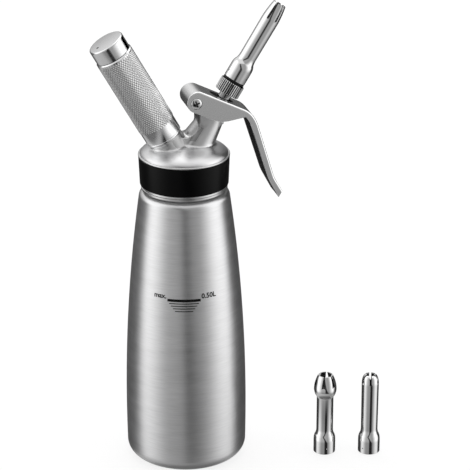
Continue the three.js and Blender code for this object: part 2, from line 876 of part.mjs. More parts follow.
// Lever: one casting, a channel that opens downwards, with a slot in its top for the stem.
function lever() {
  const channel = leverSpine(leverWall, noseOpening);
  const [channelX, channelZ] = channel[channel.length - 1];
  const [innerX, innerZ] = channel[channel.length - 2];
  const runX = (channelX - innerX) / tipLength;
  const runZ = (channelZ - innerZ) / tipLength;
  const reach = noseRadius + overrun;
  const hollow = slab([
    ...channel,
    [channelX + 2 * runX, channelZ + 2 * runZ],
    [channelX - handleTopX, channelZ + 2 * runZ],
    [noseForward - handleTopX, -2 * bellyDepth],
    [
      noseForward + reach * Math.cos(noseOpening),
      leverNoseHeight + reach * Math.sin(noseOpening),
    ],
  ], 2 * cheekInner);
  const half = slotWidth / 2;
  const slotStart = stemPlaceOnLever() - slotSetback - slotLength / 2;
  const slotPath = new THREE.Shape();
  slotPath.absarc(slotStart + half, 0, half, Math.PI / 2, (3 * Math.PI) / 2);
  slotPath.absarc(slotStart + slotLength - half, 0, half, -Math.PI / 2, Math.PI / 2);
  const slot = new THREE.ExtrudeGeometry(slotPath, {
    depth: 2 * leverWall + overrun,
    bevelEnabled: false,
    curveSegments: cutFacets,
  })
    .translate(0, 0, leverTopHeight - 2 * leverWall)
    .rotateY(leverSlope);
  const pivotHole = cylinder(pivotBore, -leverWidth, leverWidth).rotateX(Math.PI / 2);
  const seatDepth = leverWidth / 2 - screwHeadThickness + screwHeadRise - seatGap;
  const seatRadius = screwHeadRadius + screwHeadClearance;
  const nearSeat = cylinder(seatRadius, seatDepth, leverWidth).rotateX(Math.PI / 2);
  const farSeat = cylinder(seatRadius, seatDepth, leverWidth).rotateX(-Math.PI / 2);
  return combine(slab(leverOutline(), leverWidth, leverEdge), {
    cut: [hollow, slot, pivotHole, nearSeat, farSeat],
  });
}

// Screw with a cross recess, on the near cheek; its shank turns into the sleeve nut.
function pivotScrew() {
  const face = leverWidth / 2 + screwHeadRise;
  const underHead = face - screwHeadThickness;
  const body = revolve([
    [0, -cheekInner],
    [screwRadius, -cheekInner],
    [screwRadius, underHead],
    [screwHeadRadius, underHead],
    [screwHeadRadius, face - screwHeadRise],
    [screwHeadRadius - 2 * screwHeadRise, face],
    [0, face],
  ], smallFacets);
  const bar = () => new THREE.BoxGeometry(crossLength, crossWidth, 2 * crossDepth);
  return combine(body, {
    cut: [bar().translate(0, 0, face), bar().rotateZ(Math.PI / 2).translate(0, 0, face)],
  }).rotateX(Math.PI / 2);
}

function pivotSleeve() {
  const face = leverWidth / 2 + screwHeadRise;
  const underHead = face - screwHeadThickness;
  return revolve([
    [0, cheekInner + seatGap],
    [sleeveBore, cheekInner + seatGap],
    [sleeveBore, -cheekInner - cheekThickness / 4],
    [sleeveRadius, -cheekInner - cheekThickness / 4],
    [sleeveRadius, underHead],
    [screwHeadRadius, underHead],
    [screwHeadRadius, face - screwHeadRise],
    [screwHeadRadius - 2 * screwHeadRise, face],
    [0, face],
  ], smallFacets).rotateX(-Math.PI / 2);
}

// Washer that fills the gap between the ear and a cheek.
function pivotWasher(side) {
  const inner = bridgeWidth / 2 + washerClearance;
  const outer = cheekInner - washerClearance;
  const section = ringSection(pivotBore, washerRadius, inner, outer);
  return revolveRing(section, smallFacets).rotateX((side * Math.PI) / 2);
}

// Adapter ring: straight-knurled grip below, threaded spigot for a nozzle above.
function adapterRing() {
  const top = adapterFoot + adapterHeight;
  const pitch = (2 * Math.PI) / adapterRibs;
  const root = adapterRadius - adapterRibDepth;
  const toothShares = [[0, root], [0.35, adapterRadius], [0.65, adapterRadius]];
  const shape = new THREE.Shape(Array.from({ length: adapterRibs }, (_, rib) => (
    toothShares.map(([share, radius]) => new THREE.Vector2(
      radius * Math.cos((rib + share) * pitch),
      radius * Math.sin((rib + share) * pitch),
    ))
  )).flat());
  const ribs = new THREE.ExtrudeGeometry(shape, {
    depth: adapterHeight,
    bevelEnabled: false,
  }).translate(0, 0, adapterFoot);
  const envelope = revolve([
    [0, adapterFoot],
    [adapterRadius - adapterEdge, adapterFoot],
    [adapterRadius, adapterFoot + adapterEdge],
    [adapterRadius, top - adapterEdge],
    [adapterRadius - adapterEdge, top],
    [0, top],
  ], adapterRibs);
  const grip = toSolid(ribs).intersect(toSolid(envelope));
  const spigot = cylinder(adapterSpigotRadius, top - overrun, top + adapterSpigotLength);
  return combine(toGeometry(grip), {
    add: [spigot],
    cut: [
      cylinder(stemRadius + seatGap, adapterFoot - overrun, stemTop + seatGap),
      cylinder(adapterBore, adapterFoot, top + adapterSpigotLength + overrun),
    ],
  });
}

function adapterSealRing() {
  const foot = adapterFoot + adapterHeight + sealRingGap;
  const section = ringSection(
    adapterSpigotRadius + seatGap,
    sealRingRadius,
    foot,
    foot + sealRingThickness,
  );
  return revolveRing(section, nozzleFacets);
}

// Base that every nozzle shares: a wide cup, a shoulder and the start of the tube.
const nozzleBase = [
  [nozzleBaseRadius, 0],
  [nozzleBaseRadius, nozzleBaseHeight],
  [(nozzleBaseRadius + nozzleTubeRadius) / 2 + nozzleWall / 4, nozzleBaseHeight
    + nozzleShoulderHeight / 2],
  [nozzleTubeRadius, nozzleBaseHeight + nozzleShoulderHeight],
];

// Wall of even thickness inside an outer line that runs from the foot to the tip.
function nozzleShell(outer) {
  const inner = outer.map(([radius, height]) => [radius - nozzleWall, height]).reverse();
  return revolveRing([...outer, ...inner], nozzleFacets);
}

function slottedNozzle(outer, slotLength, footWidth, tipWidth, roundFoot = true) {
  const foot = nozzleLength - slotLength;
  const reach = 2 * nozzleBaseRadius;
  const cutters = Array.from({ length: tineCount / 2 }, (_, index) => slab([
    [-footWidth / 2, foot],
    [footWidth / 2, foot],
    [tipWidth / 2, nozzleLength + overrun],
    [-tipWidth / 2, nozzleLength + overrun],
  ], reach).rotateZ((index * 2 * Math.PI) / tineCount));
  const rounds = cutters.map((_, index) => cylinder(footWidth / 2, -reach / 2, reach / 2, roundFacets)
    .rotateX(Math.PI / 2)
    .translate(0, 0, foot)
    .rotateZ((index * 2 * Math.PI) / tineCount));
  const slots = roundFoot ? [...cutters, ...rounds] : cutters;
  const dimple = cylinder(dimpleRadius, 0, reach, cutFacets / 2)
    .rotateX(Math.PI / 2)
    .rotateZ(-dimpleTurn)
    .translate(0, 0, dimpleHeight);
  return combine(nozzleShell(outer), { cut: [...slots, dimple] });
}

function plainNozzle() {
  return slottedNozzle([
    ...nozzleBase,
    [nozzleMuzzleRadius, nozzleLength - plainTaperLength],
    [(nozzleMuzzleRadius + plainTipRadius) / 2, nozzleLength - plainTaperLength / 2],
    [plainTipRadius, nozzleLength],
  ], plainSlotLength, plainSlotWidth, plainSlotWidth);
}

function starNozzle() {
  const taper = ellipseArc(
    starTipRadius,
    nozzleLength - starTaperLength,
    nozzleMuzzleRadius - starTipRadius,
    starTaperLength,
    0,
    Math.PI / 2,
    innerSteps,
  );
  const outer = [...nozzleBase, ...taper];
  return slottedNozzle(outer, starSlotLength, starSlotWidth, starSlotWidth);
}

function tulipNozzle() {
  const crown = new THREE.QuadraticBezierCurve(
    new THREE.Vector2(tulipBulbRadius, tulipBulbHeight),
    new THREE.Vector2(tulipBulbRadius, (tulipBulbHeight + nozzleLength) / 2),
    new THREE.Vector2(tulipTipRadius, nozzleLength),
  );
  return slottedNozzle([
    ...nozzleBase,
    [nozzleTubeRadius, tulipNeckHeight - nozzleWall],
    [nozzleMuzzleRadius, tulipNeckHeight],
    [tulipBulbRadius - nozzleWall / 2, (tulipNeckHeight + tulipBulbHeight) / 2],
    ...crown.getPoints(innerSteps).map(({ x, y }) => [x, y]),
  ], tulipSlotLength, tulipSlotWidth, tulipSlotTipWidth, false);
}

function holderGroup() {
  const group = new THREE.Group();
  group.position.set(0, 0, holderApexHeight);
  group.rotation.y = -holderTilt;
  group.add(
    piece('charger_holder', chargerHolder(), knurledAluminium),
    piece('holder_end_cap', holderEndCap(), brushedAluminium),
    piece('gas_charger', gasCharger(), polishedSteel),
    piece('pin_carrier', pinCarrier(), polishedSteel),
    piece('piercing_pin', piercingPin(), polishedSteel),
    piece('port_seal', portSeal(), blackRubber),
  );
  return group;
}

function valveGroup() {
  const nozzle = piece('nozzle_plain', plainNozzle(), polishedSteel);
  nozzle.position.z = nozzleFoot;
  nozzle.rotation.z = plainTurn;
  const group = new THREE.Group();
  group.position.set(0, 0, valveApexHeight);
  group.rotation.y = valveTilt;
  group.add(
    piece('valve_stem', valveStem(), polishedSteel),
    piece('valve_seal', valveSeal(), blackRubber),
    piece('valve_foot', valveFoot(), polishedSteel),
    piece('stem_o_ring', stemRing(), blackRubber),
    piece('valve_spring', valveSpring(), polishedSteel),
    piece('lever_collar', leverCollar(), polishedSteel),
    piece('adapter_ring', adapterRing(), polishedSteel),
    piece('adapter_seal', adapterSealRing(), blackRubber),
    nozzle,
  );
  return group;
}

function leverGroup() {
  const group = new THREE.Group();
  group.position.set(pivotX, 0, pivotHeight);
  group.add(
    piece('lever', lever(), castAluminium),
    piece('pivot_screw', pivotScrew(), polishedSteel),
    piece('pivot_sleeve', pivotSleeve(), polishedSteel),
    piece('pivot_washer_near', pivotWasher(1), whiteNylon),
    piece('pivot_washer_far', pivotWasher(-1), whiteNylon),
  );
  return group;
}

function spareNozzles() {
  const tulip = piece('spare_nozzle_tulip', tulipNozzle(), polishedSteel);
  tulip.position.set(tulipPlaceX, tulipPlaceY, 0);
  tulip.rotation.z = tulipTurn;
  const star = piece('spare_nozzle_star', starNozzle(), polishedSteel);
  star.position.set(starPlaceX, starPlaceY, 0);
  star.rotation.z = starTurn;
  return [tulip, star];
}

const dispenser = new THREE.Group();
dispenser.add(
  piece('bottle', bottle(), brushedAluminium),
  piece('head_body', head(), castAluminium),
  piece('silicone_band', siliconeBand(), blackSilicone),
  piece('head_gasket', headGasket(), blackRubber),
  holderGroup(),
  valveGroup(),
  leverGroup(),
  ...spareNozzles(),
);

export default dispenser;
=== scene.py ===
"""Whipped cream dispenser: the visible pieces, their finishes and a plain studio round them.

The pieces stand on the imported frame. Sizes are written in millimetres and become metres where a
piece is made. The origin is the centre of the bottle's base, +Z is up, the charger holder leans
to -X and the valve to +X.
"""

from __future__ import annotations

import logging
import math
from dataclasses import dataclass
from enum import Enum
from typing import Callable, Iterable, Sequence

import bmesh
import bpy
from mathutils import Matrix, Vector


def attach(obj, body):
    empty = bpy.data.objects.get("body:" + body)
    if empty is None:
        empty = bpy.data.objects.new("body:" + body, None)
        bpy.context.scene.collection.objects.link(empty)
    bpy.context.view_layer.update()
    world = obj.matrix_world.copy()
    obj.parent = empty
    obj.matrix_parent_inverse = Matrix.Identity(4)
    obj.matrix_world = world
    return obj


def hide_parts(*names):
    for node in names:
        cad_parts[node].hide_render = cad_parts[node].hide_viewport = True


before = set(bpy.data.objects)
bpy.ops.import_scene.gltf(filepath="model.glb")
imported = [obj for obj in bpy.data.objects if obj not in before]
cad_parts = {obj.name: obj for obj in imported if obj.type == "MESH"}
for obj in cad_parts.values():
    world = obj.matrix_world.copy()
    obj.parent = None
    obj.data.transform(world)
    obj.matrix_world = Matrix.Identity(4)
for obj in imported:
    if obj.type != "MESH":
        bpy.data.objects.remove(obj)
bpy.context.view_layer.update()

LOG = logging.getLogger("dispenser")
MM = 0.001
DOUBLE = 2e-6  # Vertices closer than this, in metres, are merged.
PIVOT_X, PIVOT_Z = 6.0, 248.4

Piece = bpy.types.Object
Point = tuple[float, float]
Outline = list[Point]
FaceTest = Callable[[Vector, Vector], bool]


class Body(str, Enum):
    """Bodies of the frame that the pieces ride on."""

    BOTTLE = "bottle"
    HEAD = "head"
    HOLDER = "charger_holder"
    LEVER = "lever"
    VALVE = "valve"
    ADAPTER = "adapter"
    NOZZLE = "nozzle"
    TULIP = "spare_tulip"
    STAR = "spare_star"


class Slot(str, Enum):
    """Material slots of the record."""

    BRUSHED = "brushed_aluminium"
    CAST = "cast_aluminium"
    KNURLED = "knurled_aluminium"
    STEEL = "polished_steel"
    SILICONE = "black_silicone"
    RUBBER = "black_rubber"
    NYLON = "white_nylon"


# Places


def shift(x: float = 0.0, y: float = 0.0, z: float = 0.0) -> Matrix:
    """Give a move in millimetres."""
    return Matrix.Translation((x * MM, y * MM, z * MM))


def swing(degrees: float, about: str = "X") -> Matrix:
    """Give a turn about one of the axes."""
    return Matrix.Rotation(math.radians(degrees), 4, about)


@dataclass(frozen=True)
class Axis:
    """An axis frame's place in the part and the word that names it in materials."""

    place: Matrix
    word: str = ""


HERE = Matrix.Identity(4)
UP = Axis(HERE)
HOLDER = Axis(shift(z=201.8) @ swing(-29.3, "Y"), "_holder")
VALVE = Axis(shift(z=205.0) @ swing(31.8, "Y"), "_valve")
PIVOT = Axis(shift(PIVOT_X, 0.0, PIVOT_Z))
SCREW = Axis(PIVOT.place @ swing(90), "_screw")


# Drawing of outlines


def oval(
    x: float, z: float, wide: float, high: float, start: float, end: float, steps: int = 12
) -> Outline:
    """Give the points of an ellipse's arc.

    Args:
        x, z: Centre.
        wide, high: Half axes.
        start, end: Angles in degrees.
        steps: Number of chords.

    Returns:
        The points from start to end.
    """
    angles = [math.radians(start + (end - start) * i / steps) for i in range(steps + 1)]
    return [(x + wide * math.cos(a), z + high * math.sin(a)) for a in angles]


def arc(x: float, z: float, radius: float, start: float, end: float, steps: int = 12) -> Outline:
    """Give the points of a circle's arc, as oval does for an ellipse."""
    return oval(x, z, radius, radius, start, end, steps)


def bend(first: Point, corner: Point, last: Point, steps: int = 10) -> Outline:
    """Give the points of a quadratic curve.

    Args:
        first, corner, last: The curve's control points.
        steps: Number of chords.

    Returns:
        The points from first to last.
    """
    points = []
    for s in (i / steps for i in range(steps + 1)):
        shares = ((1 - s) ** 2, 2 * s * (1 - s), s * s)
        triples = zip(first, corner, last)
        points.append(tuple(sum(a * b for a, b in zip(shares, triple)) for triple in triples))
    return points


def off(start: Point, degrees: float, length: float) -> Point:
    """Give the point at an angle and a distance from another."""
    angle = math.radians(degrees)
    return start[0] + length * math.cos(angle), start[1] + length * math.sin(angle)


def towards(start: Point, goal: Point, length: float) -> Point:
    """Give the point at a distance from one point in the direction of another."""
    share = length / math.dist(start, goal)
    return tuple(a + (b - a) * share for a, b in zip(start, goal))


# Bench: modelling steps on one object at a time


def clear() -> None:
    """Leave edit mode and deselect every object."""
    if bpy.context.object and bpy.context.object.mode != "OBJECT":
        bpy.ops.object.mode_set(mode="OBJECT")
    bpy.ops.object.select_all(action="DESELECT")


def focus(piece: Piece) -> None:
    """Make a piece the only selected object."""
    clear()
    piece.select_set(True)
    bpy.context.view_layer.objects.active = piece


def edit(piece: Piece, action: str = "SELECT") -> None:
    """Open a piece in edit mode with everything selected or deselected."""
    focus(piece)
    bpy.ops.object.mode_set(mode="EDIT")
    bpy.ops.mesh.select_all(action=action)


def called(name: str) -> Piece:
    """Name the active object and its data, and give it."""
    piece = bpy.context.object
    piece.name = piece.data.name = name
    return piece


def settle(piece: Piece) -> None:
    """Move a piece's place into its mesh."""
    focus(piece)
    bpy.ops.object.transform_apply(location=True, rotation=True, scale=True)


def place(piece: Piece, where: Matrix) -> Piece:
    """Carry a piece from the drawing frame to its place."""
    piece.matrix_world = where
    settle(piece)
    return piece


def apply(piece: Piece, kind: str, **settings: object) -> None:
    """Add a modifier and apply it at once.

    Args:
        piece: The piece.
        kind: The modifier's type.
        settings: The modifier's values.
    """
    focus(piece)
    modifier = piece.modifiers.new(kind.title(), kind)
    for name, value in settings.items():
        setattr(modifier, name, value)
    bpy.ops.object.modifier_apply(modifier=modifier.name)


def trace(name: str, points: Sequence[Vector]) -> Piece:
    """Draw a line by extruding one vertex from point to point, and stay in edit mode.

    Args:
        name: The piece's name.
        points: The line's points in millimetres.

    Returns:
        The piece, all selected.
    """
    clear()
    walk = [point * MM for point in points]
    bpy.ops.mesh.primitive_plane_add(size=MM, location=walk[0])
    piece = called(name)
    settle(piece)
    edit(piece)
    bpy.ops.mesh.select_mode(type="VERT")
    bpy.ops.mesh.merge(type="CENTER")
    for here, there in zip(walk, walk[1:]):
        bpy.ops.mesh.extrude_vertices_move(TRANSFORM_OT_translate={"value": there - here})
    bpy.ops.mesh.select_all(action="SELECT")
    return piece


def clean() -> None:
    """Merge doubles and turn the normals outwards, in edit mode, then leave it."""
    bpy.ops.mesh.select_all(action="SELECT")
    bpy.ops.mesh.remove_doubles(threshold=DOUBLE)
    bpy.ops.mesh.normals_make_consistent(inside=False)
    bpy.ops.object.mode_set(mode="OBJECT")


def lathe(
    name: str, outline: Outline, where: Matrix = HERE, steps: int = 96, ring: bool = False
) -> Piece:
    """Spin an outline of radius and height about the Z axis.

    Args:
        name: The piece's name.
        outline: Points of radius and height.
        where: Place of the axis.
        steps: Steps of a full turn.
        ring: Whether the outline closes on itself away from the axis.

    Returns:
        The closed piece.
    """
    walk = [*outline, outline[0]] if ring else outline
    piece = trace(name, [Vector((radius, 0, height)) for radius, height in walk])
    bpy.ops.mesh.spin(steps=steps, angle=2 * math.pi, center=(0, 0, 0), axis=(0, 0, 1))
    clean()
    return place(piece, where)


def plate(name: str, outline: Outline, width: float, where: Matrix = HERE) -> Piece:
    """Extrude an outline of x and z to both sides of the XZ plane.

    Args:
        name: The piece's name.
        outline: Points of x and z.
        width: Full width along Y.
        where: Place of the drawing plane.

    Returns:
        The closed piece.
    """
    piece = trace(name, [Vector((x, -width / 2, z)) for x, z in [*outline, outline[0]]])
    bpy.ops.mesh.remove_doubles(threshold=DOUBLE)
    bpy.ops.mesh.edge_face_add()
    bpy.ops.mesh.extrude_region_move(TRANSFORM_OT_translate={"value": (0, width * MM, 0)})
    clean()
    return place(piece, where)


def rod(
    name: str, radius: float, low: float, high: float, where: Matrix = HERE, steps: int = 48
) -> Piece:
    """Make a plain cylinder, mostly to cut with.

    Args:
        name: The piece's name.
        radius: Radius.
        low, high: Ends along the axis.
        where: Place of the axis.
        steps: Sides.

    Returns:
        The cylinder.
    """
    clear()
    bpy.ops.mesh.primitive_cylinder_add(
        vertices=steps,
        radius=radius * MM,
        depth=(high - low) * MM,
        location=(0, 0, (high + low) / 2 * MM),
    )
    piece = called(name)
    settle(piece)
    return place(piece, where)


def merge(piece: Piece, others: Iterable[Piece], how: str = "DIFFERENCE") -> Piece:
    """Cut, join or intersect a piece with others, which are used up.

    Args:
        piece: The piece that stays.
        others: The pieces to use.
        how: DIFFERENCE, UNION or INTERSECT.

    Returns:
        The piece.
    """
    for other in others:
        apply(piece, "BOOLEAN", object=other, operation=how, solver="EXACT")
        bpy.data.objects.remove(other)
    return piece


def shade(piece: Piece, angle: float) -> None:
    """Shade a piece smooth, with edges above an angle in degrees kept sharp."""
    focus(piece)
    bpy.ops.object.shade_smooth_by_angle(angle=math.radians(angle))


# Shader maths


class Signal:
    """A socket's output that takes part in arithmetic."""

    def __init__(self, graph: Graph, socket: bpy.types.NodeSocket | None) -> None:
        """Wrap a socket of a graph."""
        self.graph = graph
        self.socket = socket

    def _with(self, operation: str, *values: Signal | float) -> Signal:
        """Add a Math node on this signal and others."""
        return self.graph.maths(operation, self, *values)

    def __add__(self, other: Signal | float) -> Signal:
        """Sum."""
        return self._with("ADD", other)

    def __sub__(self, other: Signal | float) -> Signal:
        """Difference."""
        return self._with("SUBTRACT", other)

    def __mul__(self, other: Signal | float) -> Signal:
        """Product."""
        return self._with("MULTIPLY", other)

    def __rsub__(self, other: float) -> Signal:
        """Reflected difference."""
        return self.graph.maths("SUBTRACT", other, self)

    def over(self, edge: float, soft: float) -> Signal:
        """Give a smooth step from 0 to 1 round an edge, with soft as half its width."""
        ends = [self, edge - soft, edge + soft, 0.0, 1.0]
        return self.graph.node("MapRange", ends, interpolation_type="SMOOTHSTEP")

    def size(self) -> Signal:
        """Give the value without its sign."""
        return self._with("ABSOLUTE")

    def most(self, other: Signal | float) -> Signal:
        """Give the greater of two values."""
        return self._with("MAXIMUM", other)

    def to(self, other: Signal | float, share: Signal) -> Signal:
        """Blend from this value to another by a share."""
        return self + (other - self) * share


class Graph:
    """Node tree of one material or of the world."""

    def __init__(self, tree: bpy.types.NodeTree) -> None:
        """Empty the tree."""
        self.tree = tree
        tree.nodes.clear()

    def node(
        self,
        kind: str,
        inputs: dict[int | str, object] | Sequence[object] = (),
        out: int | str = 0,
        **settings: object,
    ) -> Signal:
        """Add a shader node, set it and feed its inputs.

        Args:
            kind: The node's type without its prefix.
            inputs: Values or signals by name or in order.
            out: The output to give.
            settings: Properties to set first.

        Returns:
            The chosen output.
        """
        made = self.tree.nodes.new(f"ShaderNode{kind}")
        for name, value in settings.items():
            setattr(made, name, value)
        for key, value in inputs.items() if isinstance(inputs, dict) else enumerate(inputs):
            if isinstance(value, Signal):
                self.tree.links.new(value.socket, made.inputs[key])
            else:
                made.inputs[key].default_value = value
        return Signal(self, made.outputs[out] if made.outputs else None)

    def maths(self, operation: str, *values: Signal | float) -> Signal:
        """Add a Math node."""
        return self.node("Math", values, operation=operation)

    def vectors(self, operation: str, *values: object, out: int | str = 0) -> Signal:
        """Add a Vector Math node."""
        return self.node("VectorMath", values, out, operation=operation)

    def here(self, axis: Axis) -> Signal:
        """Give the Object coordinates in metres, seen from an axis frame."""
        spot = self.node("TexCoord", out="Object")
        if axis.place == HERE:
            return spot
        back = axis.place.inverted()
        moves = {"Vector": spot, "Location": back.to_translation(), "Rotation": back.to_euler()}
        return self.node("Mapping", moves, vector_type="POINT")

    def noise(self, spot: Signal, scale: float, detail: float = 3.0, rough: float = 0.5) -> Signal:
        """Give fractal noise from 0 to 1.

        Args:
            spot: Coordinates.
            scale: Cells per metre.
            detail: Octaves.
            rough: Share of the finer octaves.

        Returns:
            The noise.
        """
        inputs = {"Vector": spot, "Scale": scale, "Detail": detail, "Roughness": rough}
        return self.node("TexNoise", inputs)

    def streaks(self, spot: Signal, across: float, along: float, rough: float = 0.5) -> Signal:
        """Give noise with cells per metre across and along the axis."""
        return self.noise(self.vectors("MULTIPLY", spot, (across, across, along)), 1.0, 2.0, rough)

    def tint(self, share: Signal, dark: Sequence[float], light: Sequence[float]) -> Signal:
        """Mix two colours by a share."""
        return self.node("Mix", {0: share, 6: (*dark, 1), 7: (*light, 1)}, 2, data_type="RGBA")

    def greys(self, share: Signal, dark: float, light: float) -> Signal:
        """Mix two greys by a share."""
        return self.tint(share, [dark] * 3, [light] * 3)

    def bump(self, height: Signal, distance: float) -> Signal:
        """Turn a height from 0 to 1 into a normal, with the height of 1 in millimetres."""
        return self.node("Bump", {"Height": height, "Distance": distance * MM})


# Finishes


@dataclass(frozen=True)
class Finish:
    """A surface finish. Each kind paints its own node graph."""

    name: str
    slot: Slot

    def paint(self, graph: Graph, axis: Axis) -> dict[str, object]:
        """Give the shader's inputs by name."""
        raise NotImplementedError

    def material(self, axis: Axis) -> bpy.types.Material:
        """Make the material for pieces on an axis, or give it if it is already made."""
        name = self.name + axis.word
        made = bpy.data.materials.get(name)
        if not made:
            made = bpy.data.materials.new(name)
            made.use_nodes = True
            graph = Graph(made.node_tree)
            shader = graph.node("BsdfPrincipled", self.paint(graph, axis))
            graph.node("OutputMaterial", {"Surface": shader})
        return made


@dataclass(frozen=True)
class Brushed(Finish):
    """Metal brushed round an axis, with fine streaks across the axis."""

    grey: float = 0.76
    contrast: float = 0.16
    rough: float = 0.34
    streak: float = 1500.0
    length: float = 90.0
    depth: float = 0.009
    anisotropy: float = 0.0

    def paint(self, graph: Graph, axis: Axis) -> dict[str, object]:
        """Give the shader's inputs: streaks in colour, roughness and height."""
        spot = graph.here(axis)
        fine = graph.streaks(spot, self.length, self.streak, 0.6)
        broad = graph.streaks(spot, self.length / 3, self.streak / 9)
        mix = fine * 0.6 + broad * 0.4
        low, high = self.grey - self.contrast, self.grey + self.contrast
        return {
            "Base Color": graph.tint(mix, [low] * 3, [high, high, high * 1.01]),
            "Metallic": 1.0,
            "Roughness": mix * 0.14 + (self.rough - 0.07),
            "Anisotropic": self.anisotropy,
            "Anisotropic Rotation": 0.25,
            "Normal": graph.bump(fine, self.depth),
        }


@dataclass(frozen=True)
class Satin(Finish):
    """Cast metal with a fine, even blasted grain and slight clouding."""

    grey: float = 0.74
    rough: float = 0.30
    depth: float = 0.004
    grain: float = 3200.0

    def paint(self, graph: Graph, axis: Axis) -> dict[str, object]:
        """Give the shader's inputs: grain in height, clouds in colour and roughness."""
        spot = graph.here(axis)
        grain = graph.noise(spot, self.grain, 2.0, 0.6)
        clouds = graph.noise(spot, 90.0)
        return {
            "Base Color": graph.greys(clouds, self.grey - 0.03, self.grey + 0.03),
            "Metallic": 1.0,
            "Roughness": clouds * 0.08 + grain * 0.04 + (self.rough - 0.06),
            "Normal": graph.bump(grain, self.depth),
        }


@dataclass(frozen=True)
class Knurled(Finish):
    """Knurled metal with painted shade darkening it down in the grooves."""

    grey: float = 0.94
    deep: float = 0.5
    rough: float = 0.24
    bed: float = 12.17
    depth: float = 0.28
    level: float = 0.3

    def paint(self, graph: Graph, axis: Axis) -> dict[str, object]:
        """Give the shader's inputs: painted groove shade by the distance from the axis."""
        spot = graph.here(axis)
        flat = graph.vectors("MULTIPLY", spot, (1 / MM, 1 / MM, 0.0))
        away = graph.vectors("LENGTH", flat, out="Value")
        raised = away.over(self.bed + self.level * self.depth, 0.3 * self.depth)
        wear = graph.noise(spot, 500.0, 2.0)
        return {
            # Painted shade: the colour falls from grey to deep towards the groove bottoms.
            "Base Color": graph.greys(raised, self.deep, self.grey),
            "Metallic": 1.0,
            "Roughness": wear * 0.08 + (self.rough - 0.04),
        }


@dataclass(frozen=True)
class Polished(Finish):
    """Polished steel with faint turning marks."""

    grey: float = 0.84
    rough: float = 0.08
    marks: float = 2600.0
    depth: float = 0.0006

    def paint(self, graph: Graph, axis: Axis) -> dict[str, object]:
        """Give the shader's inputs: faint rings round the axis."""
        spot = graph.here(axis)
        rings = graph.streaks(spot, 120.0, self.marks)
        smudge = graph.noise(spot, 140.0, 2.0)
        return {
            "Base Color": graph.greys(smudge, self.grey - 0.02, self.grey + 0.02),
            "Metallic": 1.0,
            "Roughness": smudge * 0.05 + rings * 0.03 + (self.rough - 0.04),
            "Normal": graph.bump(rings, self.depth),
        }


@dataclass(frozen=True)
class Moulded(Finish):
    """Moulded rubber, silicone or nylon with a fine matt grain."""

    colour: tuple[float, float, float] = (0.0006, 0.0006, 0.0007)
    rough: float = 0.31
    depth: float = 0.01
    gloss: float = 0.11
    grain: float = 2400.0

    def paint(self, graph: Graph, axis: Axis) -> dict[str, object]:
        """Give the shader's inputs: grain in height and a faint bloom in colour."""
        spot = graph.here(axis)
        grain = graph.noise(spot, self.grain, 2.0)
        bloom = graph.noise(spot, 70.0)
        light = [min(1.0, c * 1.25 + 0.0004) for c in self.colour]
        return {
            "Base Color": graph.tint(bloom, self.colour, light),
            "Roughness": bloom * 0.1 + grain * 0.05 + (self.rough - 0.08),
            "Specular IOR Level": self.gloss,
            "Normal": graph.bump(grain, self.depth),
        }


BRUSHED = Brushed("Brushed_aluminium", Slot.BRUSHED, anisotropy=0.5)
TURNED = Brushed("Turned_aluminium", Slot.BRUSHED, 0.82, 0.05, 0.15, depth=0.001)
SPUN = Brushed("Spun_dome", Slot.CAST, 0.78, 0.1, 0.36, depth=0.003, anisotropy=0.75)
CAST = Satin("Cast_aluminium", Slot.CAST)
# Painted light: a lighter copy of the cast finish for the lever, so its cheeks read brighter than
# the lamps make them.
LEVER_PAINTED_LIGHT = Satin("Painted_light_lever", Slot.CAST, 0.95, 0.2)
# Painted shade: a dark copy of the cast finish laid in recesses: the vent, the lever's channel and
# slot, and the screw's recess.
RECESS_PAINTED_SHADE = Satin("Painted_shade_recess", Slot.CAST, 0.16, 0.55)
# Painted shade: a darker copy of the cast finish on the bridge's hollow flank and the port's wall
# beside it.
SADDLE_PAINTED_SHADE = Satin("Painted_shade_saddle", Slot.CAST, 0.42, 0.34)
# Painted shade: a dark copy of the steel for the insides of the nozzles.
BORE_PAINTED_SHADE = Satin("Painted_shade_bore", Slot.STEEL, 0.3, 0.45, 0.002)
# Both paint shade down in their grooves.
KNURL = Knurled("Knurled_aluminium", Slot.KNURLED)
RIBBED = Knurled("Ribbed_steel", Slot.STEEL, 0.9, 0.03, 0.12, bed=7.63, depth=0.62, level=0.55)
STEEL = Polished("Polished_steel", Slot.STEEL)
# Painted shade: a dark copy of the polished steel for the valve stem, which stands in the lever's
# shaded slot.
STEM_PAINTED_SHADE = Polished("Painted_shade_steel", Slot.STEEL, 0.3, 0.12)
SILICONE = Moulded("Black_silicone", Slot.SILICONE)
RUBBER = Moulded("Black_rubber", Slot.RUBBER, (0.003, 0.003, 0.0032), 0.42, gloss=0.3)
NYLON = Moulded("White_nylon", Slot.NYLON, (0.76, 0.75, 0.71), 0.45, 0.004, 0.5)
INK = Moulded("Black_ink", Slot.RUBBER, (0.003, 0.003, 0.003), 0.5, 0.002)


def fit(piece: Piece, body: Body, finish: Finish, axis: Axis = UP, node: str = "") -> Piece:
    """Dress a finished piece and hang it on its body.

    Args:
        piece: The piece, in place.
        body: The body that it rides on.
        finish: Its finish.
        axis: Axis frame of the finish.
        node: Node of the frame that it stands for, if there is one.

    Returns:
        The piece.
    """
    piece.data.materials.clear()
    piece.data.materials.append(finish.material(axis))
    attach(piece, body.value)
    if node:
        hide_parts(node)
    LOG.info("%s rides on %s, %d faces", piece.name, body.value, len(piece.data.polygons))
    return piece


def turned(
    name: str,
    outline: Outline,
    body: Body,
    finish: Finish,
    node: str,
    axis: Axis = UP,
    steps: int = 96,
    ring: bool = True,
    angle: float = 30.0,
) -> Piece:
    """Spin, shade and fit a piece that takes no other work.

    Args:
        name, outline, steps, ring: As for lathe.
        body, finish, node: As for fit.
        axis: Axis frame of the piece and of its finish.
        angle: Angle in degrees above which an edge stays sharp.

    Returns:
        The piece.
    """
    piece = lathe(name, outline, axis.place, steps, ring)
    shade(piece, angle)
    return fit(piece, body, finish, axis, node)


